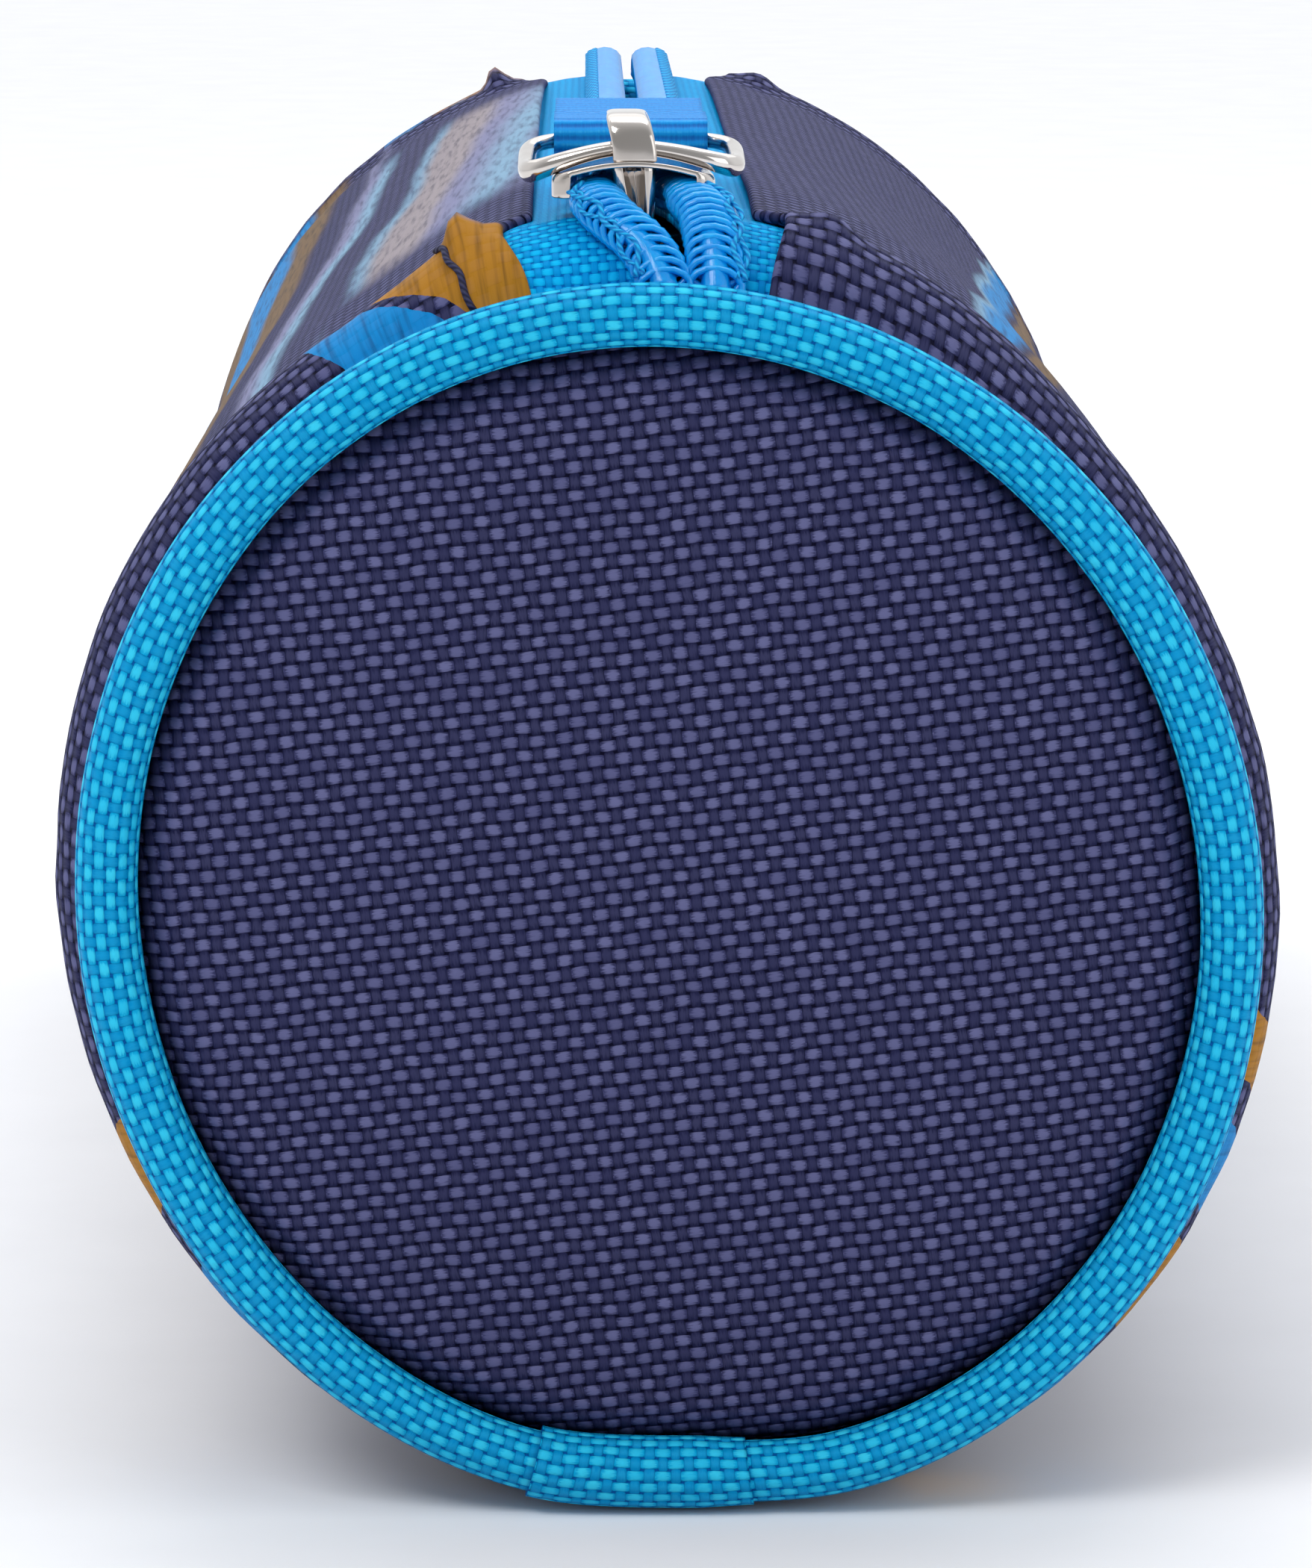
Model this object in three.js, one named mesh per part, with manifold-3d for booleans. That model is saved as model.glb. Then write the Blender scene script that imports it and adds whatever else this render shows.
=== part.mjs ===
// Round, zipped fabric pencil case, lying on its side along Y with the zip on top.
// Millimetres, +Z up. The origin is on the table under the middle of the case, and
// the closed end of the zip, with its slider, is at -Y.
import * as THREE from "three";
import { mergeVertices } from "three/addons/utils/BufferGeometryUtils.js";
import Module from "manifold-3d";

const wasm = await Module();
wasm.setup();

// Overall size. The outline of both ends is an ellipse with a flattened bottom, and the
// soft case leans a little, so the outline slips sideways as it rises.
const LENGTH = 206;
const RING_HALF_WIDTH = 37.65;
const RING_HALF_HEIGHT = 39.8;
const CENTRE_Z = 39.3;
const RING_TOP = CENTRE_Z + RING_HALF_HEIGHT;
const LEAN = 0.037; // sideways slip per unit of height
const RING_LIFT = 0.3; // the piping's flat bottom hangs this far off the table

// The wall swells out behind each piping: [distance from the end, swell past the piping].
// Its sides draw in towards the middle of the case, while the zip keeps the top straight.
const SWELL = 1.7;
const SWELL_PROFILE = [
  [4.7, -0.8],
  [6.2, 0.7],
  [8.2, 1.45],
  [10.5, SWELL],
];
const WAIST = 1.5;
const WALL_TOP = RING_TOP + SWELL;

// The slider holds the top of the wall up near the front, and the zip's line sinks evenly
// from there to the back: [distance from the front, lift]. The lift fades out sideways.
const LIFT = 3;
const LIFT_PROFILE = [
  [4.7, 0.6],
  [6.2, 1.5],
  [8.2, 2.4],
  [10.5, LIFT],
  [195.5, 0.4],
  [201.3, 0],
];
const LIFT_FADE_LEFT = [8, 20];
const LIFT_FADE_RIGHT = [10, 36];
const ZIP_LINE = WALL_TOP + LIFT;

// Layers of the wall, as depths below its outer surface.
const FABRIC = 0.8;
const FOAM = 2.0;
const LINING = 0.6;
const GAP = 0.3;
const FOAM_DEPTH = FABRIC + GAP;
const LINING_DEPTH = FOAM_DEPTH + FOAM + GAP;

// Half-widths of the slit that each layer leaves along the zip.
const PANEL_SLIT = 8.7;
const FOAM_SLIT = 17;
const LINING_SLIT = 11;

// The two flaps beside the zip bend from the sides of the case.
const HINGE_ANGLE = 22;
const SHOULDER = 12; // from each end of the case to the flaps
const CUT_GAP = 0.4;

// Piping: fabric folded round a cord, with its two legs sewn into the end seam.
const PIPING_RADIUS = 2;
const LAP_RADIUS = 2.3;
const PIPING_BORE = 1.45;
const CORD_RADIUS = 1.15;
const LEG_OUTER = 0.7;
const LEG_INNER = 0.2;
const LEG_END = 8;
const LAP_START = 253.6;
const LAP_END = 276;
const LAP_GAP = 0.25;

// Binding tape folded over the raw seam inside the case.
const BINDING_START = 4.5;
const BINDING_INNER = 1;
const BINDING_THICK = 0.5;

// Layers of each end, from the front face inwards.
const END_FABRIC = { edge: 4.65, depth: 2.1, thick: FABRIC, dome: 1.85 };
const END_FOAM = { edge: 8, depth: 3.2, thick: FOAM, dome: 1.85 };
const END_LINING = { edge: 8.9, depth: 5.5, thick: LINING, dome: 1.85 };

// Zip: two woven tapes, each with a coil strand on its edge.
const TAPE_INNER = 1.2;
const TAPE_OUTER = 16.3;
const TAPE_THICK = 0.6;
const COIL_HALF_WIDTH = 1.35;
const COIL_HALF_HEIGHT = 0.95;
const COIL_RISE = 0.3;
const COIL_START = 4.9;

// Where the strands run: [distance from the front end, left strand, right strand], the two
// being how far right of the middle they are. In front of the slider both veer to the right.
const COIL_ROUTE = [
  [COIL_START, 1.2, 4.4],
  [6.6, -0.9, 4.1],
  [8.2, -2.2, 3.6],
  [9.5, -2.75, 2.75],
  [13, -2.65, 2.65],
  [15, -2.1, 2.1],
  [17, -1.6, 1.6],
];
const COIL_REAR = [10.5, 8.2, 6.2, COIL_START];

// Slider, measured back from its front edge and up from the zip's line there.
const SLIDER_FRONT = 9.5;
const SLIDER_LENGTH = 12;
const SLIDER_HALF_WIDTH = 5.2;
const SLIDER_REAR_HALF_WIDTH = 3.9;
const SLIDER_FLANGE = 0.9;
const TOP_PLATE_SIDE = 1.2;
const TOP_PLATE_HIGH = 2.25;
const TOP_PLATE_THICK = 0.55;
const FLANGE_LOW = -0.1;
const BOTTOM_PLATE_HIGH = -2.4;
const BOTTOM_PLATE_LOW = -3;
const CROWN_FRONT = 0.3;
const CROWN_LENGTH = 8;
const CROWN_HEIGHT = 3.05;
const CROWN_THICK = 0.8;
const CROWN_WIDTH = 3;

// Oval pull ring, hooked under the crown, and the ribbon folded round its far bar.
const WIRE_RADIUS = 0.6;
const RING_PIVOT_BACK = 2;
const RING_PIVOT_UP = 3.05;
const RING_WIDTH = 13.8; // between the middles of the wire's two sides
const RING_DEPTH = 11.3;
const RING_TILT = -1.5;
const RING_SQUARENESS = 0.35; // 1 is an ellipse, 0 a rectangle
const RIBBON_WIDTH = 10;
const RIBBON_LENGTH = 26;
const RIBBON_THICK = 0.5;
const RIBBON_SLOPE = 2.5;
const RIBBON_PLAY = 0.3; // between the ribbon and the bar
const RIBBON_NECK = 6; // behind the bar, where the two layers come together

// How finely round shapes are faceted.
const WALL_STEPS = 44;
const RING_STEPS = 32;
const ARC_STEPS = 8;

const COLOURS = {
  navy: { color: 0x32345a, roughness: 0.85, metalness: 0 },
  cyan: { color: 0x0a9cd8, roughness: 0.7, metalness: 0 },
  coil: { color: 0x0a8fd6, roughness: 0.25, metalness: 0 },
  nickel: { color: 0xc4c2c4, roughness: 0.15, metalness: 1 },
  foam: { color: 0xd8d8d4, roughness: 0.95, metalness: 0 },
  lining: { color: 0x22243c, roughness: 0.8, metalness: 0 },
  cord: { color: 0xe8e6e0, roughness: 0.9, metalness: 0 },
};

const radians = THREE.MathUtils.degToRad;
const front = (distance) => -LENGTH / 2 + distance;
const back = (distance) => LENGTH / 2 - distance;
const ends = { front, back };

// ---------- solids ----------

function signedVolume(points, faces) {
  const normal = new THREE.Vector3();
  let sum = 0;
  for (const [a, b, c] of faces) {
    normal.crossVectors(points[b], points[c]);
    sum += points[a].dot(normal);
  }
  return sum / 6;
}

// A closed mesh from points and triangles, turned so that its faces point out.
function closedGeometry(points, faces) {
  const outward = signedVolume(points, faces) > 0;
  const turned = faces.map(([a, b, c]) => (outward ? [a, b, c] : [a, c, b]));
  return new THREE.BufferGeometry().setFromPoints(points).setIndex(turned.flat());
}

function quad(a, b, c, d) {
  return [
    [a, b, c],
    [a, c, d],
  ];
}

// A body skinned over equal loops of points, closed on itself or capped at both ends.
function loft(loops, { closed = false, section = null } = {}) {
  const size = loops[0].length;
  const faces = [];
  const spans = closed ? loops.length : loops.length - 1;
  for (let i = 0; i < spans; i++) {
    const here = i * size;
    const next = ((i + 1) % loops.length) * size;
    for (let j = 0; j < size; j++) {
      const k = (j + 1) % size;
      faces.push(...quad(here + j, here + k, next + k, next + j));
    }
  }
  if (!closed) {
    const cap = THREE.ShapeUtils.triangulateShape(section, []);
    const last = (loops.length - 1) * size;
    for (const [a, b, c] of cap) {
      faces.push([a, c, b], [last + a, last + b, last + c]);
    }
  }
  return closedGeometry(loops.flat(), faces);
}

// A sheet with thickness, from two grids of points that lie over each other.
function thickSheet(outer, inner) {
  const rows = outer.length;
  const columns = outer[0].length;
  const below = rows * columns;
  const at = (i, j) => i * columns + j;
  const faces = [];
  for (let i = 0; i < rows - 1; i++) {
    for (let j = 0; j < columns - 1; j++) {
      const [a, b, c, d] = [at(i, j), at(i, j + 1), at(i + 1, j + 1), at(i + 1, j)];
      const over = quad(a, b, c, d);
      const under = over.map(([p, q, r]) => [below + r, below + q, below + p]);
      faces.push(...over, ...under);
    }
  }
  const rim = rimOf(rows, columns, at);
  rim.forEach((a, i) => {
    const b = rim[(i + 1) % rim.length];
    faces.push(...quad(b, a, below + a, below + b));
  });
  return closedGeometry([...outer.flat(), ...inner.flat()], faces);
}

function rimOf(rows, columns, at) {
  const rim = [];
  for (let j = 0; j < columns - 1; j++) rim.push(at(0, j));
  for (let i = 0; i < rows - 1; i++) rim.push(at(i, columns - 1));
  for (let j = columns - 1; j > 0; j--) rim.push(at(rows - 1, j));
  for (let i = rows - 1; i > 0; i--) rim.push(at(i, 0));
  return rim;
}

function solidOf(geometry) {
  const bare = geometry.clone();
  bare.deleteAttribute("normal");
  bare.deleteAttribute("uv");
  const merged = mergeVertices(bare, 1e-4);
  const vertProperties = new Float32Array(merged.attributes.position.array);
  const triVerts = new Uint32Array(merged.index.array);
  return new wasm.Manifold(new wasm.Mesh({ numProp: 3, vertProperties, triVerts }));
}

function geometryOf(solid) {
  const mesh = solid.getMesh();
  const positions = new THREE.BufferAttribute(new Float32Array(mesh.vertProperties), 3);
  return new THREE.BufferGeometry()
    .setAttribute("position", positions)
    .setIndex(Array.from(mesh.triVerts));
}

// An outline in X and Z, drawn out along Y.
function prismAlongY(points, y0, y1) {
  const shape = new THREE.Shape(points.map(([x, z]) => new THREE.Vector2(x, z)));
  const geometry = new THREE.ExtrudeGeometry(shape, { depth: y1 - y0, bevelEnabled: false });
  return geometry.rotateX(Math.PI / 2).translate(0, y1, 0);
}

// An outline in X and Y, drawn out along Z.
function prismAlongZ(points, z0, z1) {
  const shape = new THREE.Shape(points.map(([x, y]) => new THREE.Vector2(x, y)));
  const geometry = new THREE.ExtrudeGeometry(shape, { depth: z1 - z0, bevelEnabled: false });
  return geometry.translate(0, 0, z0);
}

// An outline in Y and Z, drawn out along X on both sides of the middle.
function prismAlongX(points, width) {
  const shape = new THREE.Shape(points.map(([y, z]) => new THREE.Vector2(y, z)));
  const geometry = new THREE.ExtrudeGeometry(shape, { depth: width, bevelEnabled: false });
  const turn = new THREE.Matrix4().makeBasis(
    new THREE.Vector3(0, 1, 0),
    new THREE.Vector3(0, 0, 1),
    new THREE.Vector3(1, 0, 0),
  );
  return geometry.translate(0, 0, -width / 2).applyMatrix4(turn);
}

// ---------- the case's outline ----------

// A point on the outline, this far in from the piping's outer edge, with its sides drawn
// in by a waist.
function outlinePoint(inset, degrees, y, floor, waist = 0) {
  const t = radians(degrees);
  const rise = (RING_HALF_HEIGHT - inset) * Math.sin(t);
  const x = (RING_HALF_WIDTH - inset - waist) * Math.cos(t) - LEAN * rise;
  return new THREE.Vector3(x, y, Math.max(CENTRE_Z + rise, floor));
}

// The lean carries the zip this far to one side.
const ZIP_X = -LEAN * (RING_HALF_HEIGHT + SWELL);

const ringPoint = (inset, degrees, y) =>
  outlinePoint(inset, degrees, y, RING_LIFT + inset);

// A value read off a profile of [distance, value] rows.
function readOff(profile, distance) {
  const next = profile.findIndex(([d]) => d >= distance);
  if (next < 0) return profile[profile.length - 1][1];
  if (next === 0) return profile[0][1];
  const [d0, value0] = profile[next - 1];
  const [d1, value1] = profile[next];
  return value0 + ((value1 - value0) * (distance - d0)) / (d1 - d0);
}

// Distances from the front end at which the wall's profile bends, from one start to its mirror.
function stations(start) {
  const near = [start, ...SWELL_PROFILE.map(([d]) => d).filter((d) => d > start)];
  return [...near, LENGTH / 2, ...near.map((d) => LENGTH - d).reverse()];
}

const swellAt = (distance) => readOff(SWELL_PROFILE, Math.min(distance, LENGTH - distance));

function liftAt(distance, degrees) {
  const t = radians(degrees);
  if (Math.sin(t) < 0) return 0;
  const offset = (RING_HALF_WIDTH + SWELL) * Math.cos(t);
  const [from, to] = offset < 0 ? LIFT_FADE_LEFT : LIFT_FADE_RIGHT;
  const share = 1 - THREE.MathUtils.smoothstep(Math.abs(offset), from, to);
  return share * readOff(LIFT_PROFILE, distance);
}

function waistAt(distance) {
  const [full] = SWELL_PROFILE[SWELL_PROFILE.length - 1];
  const inside = Math.min(distance, LENGTH - distance) - full;
  return (WAIST * Math.max(inside, 0)) / (LENGTH / 2 - full);
}

function angleAt(halfWidth) {
  return THREE.MathUtils.radToDeg(Math.acos(halfWidth / (RING_HALF_WIDTH + SWELL)));
}

function range(from, to, steps) {
  return Array.from({ length: steps + 1 }, (_, i) => from + ((to - from) * i) / steps);
}

// ---------- the wall ----------

function wallGrid(depth, start, angles) {
  return stations(start).map((distance) => {
    const inset = depth - swellAt(distance);
    const waist = waistAt(distance);
    return angles.map((degrees) => {
      const point = outlinePoint(inset, degrees, front(distance), depth, waist);
      return point.setZ(point.z + liftAt(distance, degrees));
    });
  });
}

// Every layer bends at the same angles, so that none cuts through the next.
function wallAngles(slit) {
  const edge = angleAt(slit);
  const inside = (degrees) => Math.abs(degrees + 90) < edge + 90 - 2;
  return [edge, ...range(90, -270, WALL_STEPS).filter(inside), -180 - edge];
}

// One layer of the wall, all the way round from one edge of the zip's slit to the other.
function wallLayer({ depth, thick, start, slit }) {
  const angles = wallAngles(slit);
  return thickSheet(wallGrid(depth, start, angles), wallGrid(depth + thick, start, angles));
}

// The wedge of space that holds the right-hand flap (side 1) or the left-hand one (side -1).
// Its lower edge runs through the line that the flap bends about.
function flapSpace(side, gap) {
  const hinge = outlinePoint(-SWELL, side > 0 ? HINGE_ANGLE : 180 - HINGE_ANGLE, 0, 0);
  const slope = Math.atan2(hinge.z - CENTRE_Z, side * hinge.x);
  const reach = 2 * RING_HALF_WIDTH;
  const corner = [reach * Math.cos(slope), CENTRE_Z + reach * Math.sin(slope) + gap];
  const outline = [
    [0, CENTRE_Z + gap],
    corner,
    [corner[0], CENTRE_Z + reach],
    [0, CENTRE_Z + reach],
  ].map(([x, z]) => [side * x, z]);
  if (side < 0) outline.reverse();
  return solidOf(prismAlongY(outline, front(SHOULDER + gap), back(SHOULDER + gap)));
}

const FLAP_SIDES = { left: -1, right: 1 };
const WALL_LAYERS = {
  panel: { depth: 0, thick: FABRIC, start: 4.7, slit: PANEL_SLIT, look: "navy" },
  foam: { depth: FOAM_DEPTH, thick: FOAM, start: 6.2, slit: FOAM_SLIT, look: "foam" },
  lining: { depth: LINING_DEPTH, thick: LINING, start: 8.2, slit: LINING_SLIT, look: "lining" },
};

// ---------- the ends ----------

// A point of the piping's section: along its legs, and across them.
function legPoint(along, across) {
  const r = Math.SQRT1_2;
  return [
    PIPING_RADIUS + r * (along - across),
    PIPING_RADIUS + r * (along + across),
  ];
}

function arcPoints(radius, from, to, steps) {
  return range(from, to, steps).map((degrees) => {
    const a = radians(degrees);
    return legPoint(radius * Math.cos(a), radius * Math.sin(a));
  });
}

// Fabric wrapped round the cord, with both of its legs.
function pipingSection(radius) {
  const outer = THREE.MathUtils.radToDeg(Math.asin(LEG_OUTER / radius));
  const inner = THREE.MathUtils.radToDeg(Math.asin(LEG_INNER / PIPING_BORE));
  return [
    legPoint(LEG_END, LEG_OUTER),
    ...arcPoints(radius, outer, 360 - outer, ARC_STEPS),
    legPoint(LEG_END, -LEG_OUTER),
    legPoint(LEG_END, -LEG_INNER),
    ...arcPoints(PIPING_BORE, 360 - inner, inner, ARC_STEPS),
    legPoint(LEG_END, LEG_INNER),
  ];
}

function cordSection() {
  return arcPoints(CORD_RADIUS, 0, 360, ARC_STEPS).slice(1);
}

function bindingSection() {
  const outer = BINDING_INNER + BINDING_THICK;
  const fold = LEG_END + GAP;
  return [
    legPoint(BINDING_START, -outer),
    legPoint(fold + BINDING_THICK, -outer),
    legPoint(fold + BINDING_THICK, outer),
    legPoint(BINDING_START, outer),
    legPoint(BINDING_START, BINDING_INNER),
    legPoint(fold, BINDING_INNER),
    legPoint(fold, -BINDING_INNER),
    legPoint(BINDING_START, -BINDING_INNER),
  ];
}

// A section carried round the outline between two angles, or all the way round.
function ringSweep(section, end, angles, closed) {
  const loops = angles.map((degrees) =>
    section.map(([inset, distance]) => ringPoint(inset, degrees, ends[end](distance))),
  );
  const flat = section.map(([inset, distance]) => new THREE.Vector2(inset, distance));
  return loft(loops, { closed, section: flat });
}

// Every ring bends at the same angles, so that one stays clear inside another.
const clearOfLap = (a) => Math.abs(a - LAP_START) > 2 && Math.abs(a - LAP_END) > 2;
const evenTurn = range(0, 360, RING_STEPS).slice(0, -1).filter(clearOfLap);
const fullTurn = [...evenTurn, LAP_START, LAP_END].sort((a, b) => a - b);
const twoTurns = [...fullTurn, ...fullTurn.map((a) => a + 360)];
const between = (from, to) => [from, ...twoTurns.filter((a) => a > from + 1 && a < to - 1), to];
const lapAngles = between(LAP_START, LAP_END);
const pipingAngles = between(LAP_END + LAP_GAP, LAP_START + 360 - LAP_GAP);

// A domed round layer of an end: rings of points from its rim to its middle, on both faces.
function endLayer({ edge, depth, thick, dome }, end) {
  const fractions = [1, 0.9, 0.7, 0.4];
  const face = (down) =>
    fractions.map((f) => {
      const distance = depth + down - dome * (1 - f ** 4);
      return fullTurn.map((degrees) => {
        const rim = ringPoint(edge, degrees, 0);
        const z = CENTRE_Z + f * (rim.z - CENTRE_Z);
        return new THREE.Vector3(f * rim.x, ends[end](distance), z);
      });
    });
  const loops = [...face(0).reverse(), ...face(thick)];
  const rims = [loops[0], loops[loops.length - 1]];
  const section = rims[0].map((p) => new THREE.Vector2(p.x, p.z));
  return loft(loops, { section });
}

// ---------- the zip ----------

function tape(side) {
  const [inner, middle, edge, outer] = [TAPE_INNER, 4.5, PANEL_SLIT, TAPE_OUTER].map(angleAt);
  const under = range(90, -270, WALL_STEPS).filter((a) => a < edge - 2 && a > outer - 1);
  const angles = [inner, middle, edge, ...under];
  // The left-hand tape runs towards the zip, as the wall over it does.
  const turned = side > 0 ? angles : angles.map((a) => 180 - a).reverse();
  const start = WALL_LAYERS.panel.start;
  return thickSheet(
    wallGrid(FOAM_DEPTH, start, turned),
    wallGrid(FOAM_DEPTH + TAPE_THICK, start, turned),
  );
}

function coil(side) {
  const routed = COIL_ROUTE.map(([d, left, right]) => [d, side < 0 ? left : right]);
  const straight = routed[routed.length - 1][1];
  const route = [...routed, ...COIL_REAR.map((d) => [LENGTH - d, straight])];
  const section = range(0, 360, ARC_STEPS)
    .slice(1)
    .map((degrees) => {
      const a = radians(degrees);
      return new THREE.Vector2(COIL_HALF_WIDTH * Math.cos(a), COIL_HALF_HEIGHT * Math.sin(a));
    });
  const loops = route.map(([distance, x]) => {
    const z = RING_TOP + swellAt(distance) + liftAt(distance, 90) + COIL_RISE;
    const middle = ZIP_X + x;
    return section.map((p) => new THREE.Vector3(middle + side * p.x, front(distance), z + p.y));
  });
  return loft(loops, { section });
}

// ---------- the slider ----------

const sliderY = (distance) => front(SLIDER_FRONT + distance);

// The slider's outline from above: wide at the mouth, narrow behind.
function sliderOutline(shrink = 0, overrun = 0) {
  const mouth = SLIDER_HALF_WIDTH - shrink;
  const rear = SLIDER_REAR_HALF_WIDTH - shrink;
  const nose = overrun ? mouth : mouth - 1.2;
  const tail = overrun ? rear : rear - 0.8;
  const half = [
    [nose, -overrun],
    [mouth, 1.4],
    [mouth, 4],
    [rear, 8.5],
    [rear, SLIDER_LENGTH - 0.9],
    [tail, SLIDER_LENGTH + overrun],
  ];
  const right = half.map(([x, d]) => [x, sliderY(d)]);
  const left = half.map(([x, d]) => [-x, sliderY(d)]).reverse();
  return [...right, ...left];
}

// The post between the two plates that parts the strands.
function divider() {
  const half = [
    [0.5, 0.5],
    [1, 1.6],
    [1, 3.4],
    [0.35, 5.6],
  ];
  const right = half.map(([x, d]) => [x, sliderY(d)]);
  const left = half.map(([x, d]) => [-x, sliderY(d)]).reverse();
  const low = ZIP_LINE + BOTTOM_PLATE_HIGH - 0.2;
  const high = ZIP_LINE + TOP_PLATE_HIGH - TOP_PLATE_THICK / 2;
  return solidOf(prismAlongZ([...right, ...left], low, high));
}

// The space under the top plate's arched upper face, sunk by a depth.
function underArch(depth) {
  const reach = SLIDER_HALF_WIDTH + 0.1;
  const crest = range(1, -1, ARC_STEPS).map((f) => [
    f * reach,
    ZIP_LINE - depth + TOP_PLATE_HIGH - (TOP_PLATE_HIGH - TOP_PLATE_SIDE) * f * f,
  ]);
  const low = ZIP_LINE + BOTTOM_PLATE_LOW;
  const outline = [[-reach, low], [reach, low], ...crest];
  return solidOf(prismAlongY(outline, sliderY(-1), sliderY(SLIDER_LENGTH + 1)));
}

// The top plate with the two flanges that turn down from its sides.
function cover() {
  const low = ZIP_LINE + FLANGE_LOW;
  const high = ZIP_LINE + TOP_PLATE_HIGH + 1;
  const block = solidOf(prismAlongZ(sliderOutline(), low, high));
  const channel = solidOf(prismAlongZ(sliderOutline(SLIDER_FLANGE, 1), low - 1, high + 1));
  return block.intersect(underArch(0)).subtract(channel.intersect(underArch(TOP_PLATE_THICK)));
}

function sliderBody() {
  const low = ZIP_LINE + BOTTOM_PLATE_LOW;
  const bottom = solidOf(prismAlongZ(sliderOutline(), low, ZIP_LINE + BOTTOM_PLATE_HIGH));
  return geometryOf(cover().add(bottom).add(divider()));
}

// The bridge over the top plate that holds the pull ring.
function crown() {
  const foot = ZIP_LINE + TOP_PLATE_HIGH + GAP;
  const arch = (inset) =>
    range(0, 180, ARC_STEPS).map((degrees) => {
      const a = radians(degrees);
      const along = CROWN_LENGTH / 2 - inset;
      const up = CROWN_HEIGHT - GAP - inset;
      const middle = CROWN_FRONT + CROWN_LENGTH / 2;
      const y = sliderY(middle + along * Math.sign(Math.cos(a)) * Math.abs(Math.cos(a)) ** 0.6);
      return [y, foot + up * Math.sin(a) ** 0.6];
    });
  return prismAlongX([...arch(0), ...arch(CROWN_THICK).reverse()], CROWN_WIDTH);
}

// ---------- the pull ----------

const RING_PIVOT = new THREE.Vector3(ZIP_X, sliderY(RING_PIVOT_BACK), ZIP_LINE + RING_PIVOT_UP);
const tilt = radians(RING_TILT);
const RIBBON_PIVOT = new THREE.Vector3(
  ZIP_X,
  RING_PIVOT.y + RING_DEPTH * Math.cos(tilt),
  RING_PIVOT.z + RING_DEPTH * Math.sin(tilt),
);

// An oval of round wire in the XY plane, with its near bar's middle at the origin.
function pullRing() {
  const wire = range(0, 360, ARC_STEPS)
    .slice(1)
    .map(radians);
  const loops = range(0, 360, 24)
    .slice(1)
    .map((degrees) => {
      const a = radians(degrees);
      const squarish = (v) => Math.sign(v) * Math.abs(v) ** RING_SQUARENESS;
      const cx = (RING_WIDTH / 2) * squarish(Math.cos(a));
      const cy = (RING_DEPTH / 2) * squarish(Math.sin(a));
      const out = new THREE.Vector2(cx / RING_WIDTH ** 2, cy / RING_DEPTH ** 2).normalize();
      return wire.map((w) => {
        const r = WIRE_RADIUS * Math.cos(w);
        const x = cx + out.x * r;
        const y = cy + RING_DEPTH / 2 + out.y * r;
        return new THREE.Vector3(x, y, WIRE_RADIUS * Math.sin(w));
      });
    });
  return loft(loops, { closed: true });
}

// The ribbon's hairpin section, in Y and Z, round a bar at the origin.
function ribbonSection() {
  const skin = (radius, half) => [
    [RIBBON_LENGTH, -half],
    [RIBBON_NECK, -half],
    ...range(-100, -260, ARC_STEPS).map((degrees) => {
      const a = radians(degrees);
      return [radius * Math.cos(a), radius * Math.sin(a)];
    }),
    [RIBBON_NECK, half],
    [RIBBON_LENGTH, half],
  ];
  const bore = WIRE_RADIUS + RIBBON_PLAY;
  const outer = skin(bore + RIBBON_THICK, GAP / 2 + RIBBON_THICK);
  const inner = skin(bore, GAP / 2);
  return [...outer, ...inner.reverse()];
}

// ---------- the assembly ----------

const pencilCase = new THREE.Group();
pencilCase.name = "pencil_case";

function add(name, look, geometry, parent = pencilCase) {
  const mesh = new THREE.Mesh(geometry, new THREE.MeshStandardMaterial(COLOURS[look]));
  mesh.name = name;
  parent.add(mesh);
  return mesh;
}

function addWall() {
  for (const [layer, spec] of Object.entries(WALL_LAYERS)) {
    const whole = solidOf(wallLayer(spec));
    let base = whole;
    for (const [name, side] of Object.entries(FLAP_SIDES)) {
      base = base.subtract(flapSpace(side, 0));
      add(`${name}_flap_${layer}`, spec.look, geometryOf(whole.intersect(flapSpace(side, CUT_GAP))));
    }
    add(`base_${layer}`, spec.look, geometryOf(base));
  }
}

function addEnd(end) {
  add(`${end}_panel`, "navy", endLayer(END_FABRIC, end));
  add(`${end}_foam`, "foam", endLayer(END_FOAM, end));
  add(`${end}_lining`, "lining", endLayer(END_LINING, end));
  add(`${end}_piping`, "cyan", ringSweep(pipingSection(PIPING_RADIUS), end, pipingAngles, false));
  add(`${end}_piping_lap`, "cyan", ringSweep(pipingSection(LAP_RADIUS), end, lapAngles, false));
  add(`${end}_piping_cord`, "cord", ringSweep(cordSection(), end, fullTurn, true));
  add(`${end}_seam_binding`, "lining", ringSweep(bindingSection(), end, fullTurn, true));
}

function addZip() {
  for (const [name, side] of Object.entries(FLAP_SIDES)) {
    add(`${name}_zip_tape`, "cyan", tape(side));
    add(`${name}_zip_coil`, "coil", coil(side));
  }
}

function addSlider() {
  add("slider_body", "nickel", sliderBody()).position.x = ZIP_X;
  add("slider_crown", "nickel", crown()).position.x = ZIP_X;
  const ring = add("pull_ring", "nickel", pullRing());
  ring.position.copy(RING_PIVOT);
  ring.rotation.x = tilt;
  const ribbon = add("pull_ribbon", "cyan", prismAlongX(ribbonSection(), RIBBON_WIDTH));
  ribbon.position.copy(RIBBON_PIVOT);
  ribbon.rotation.x = radians(RIBBON_SLOPE);
}

addWall();
Object.keys(ends).forEach(addEnd);
addZip();
addSlider();

export default pencilCase;
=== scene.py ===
"""Round fabric pencil case on its side: soft goods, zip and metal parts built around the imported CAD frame."""

import math

import bmesh
import bpy
import numpy as np
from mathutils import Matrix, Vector, noise


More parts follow.
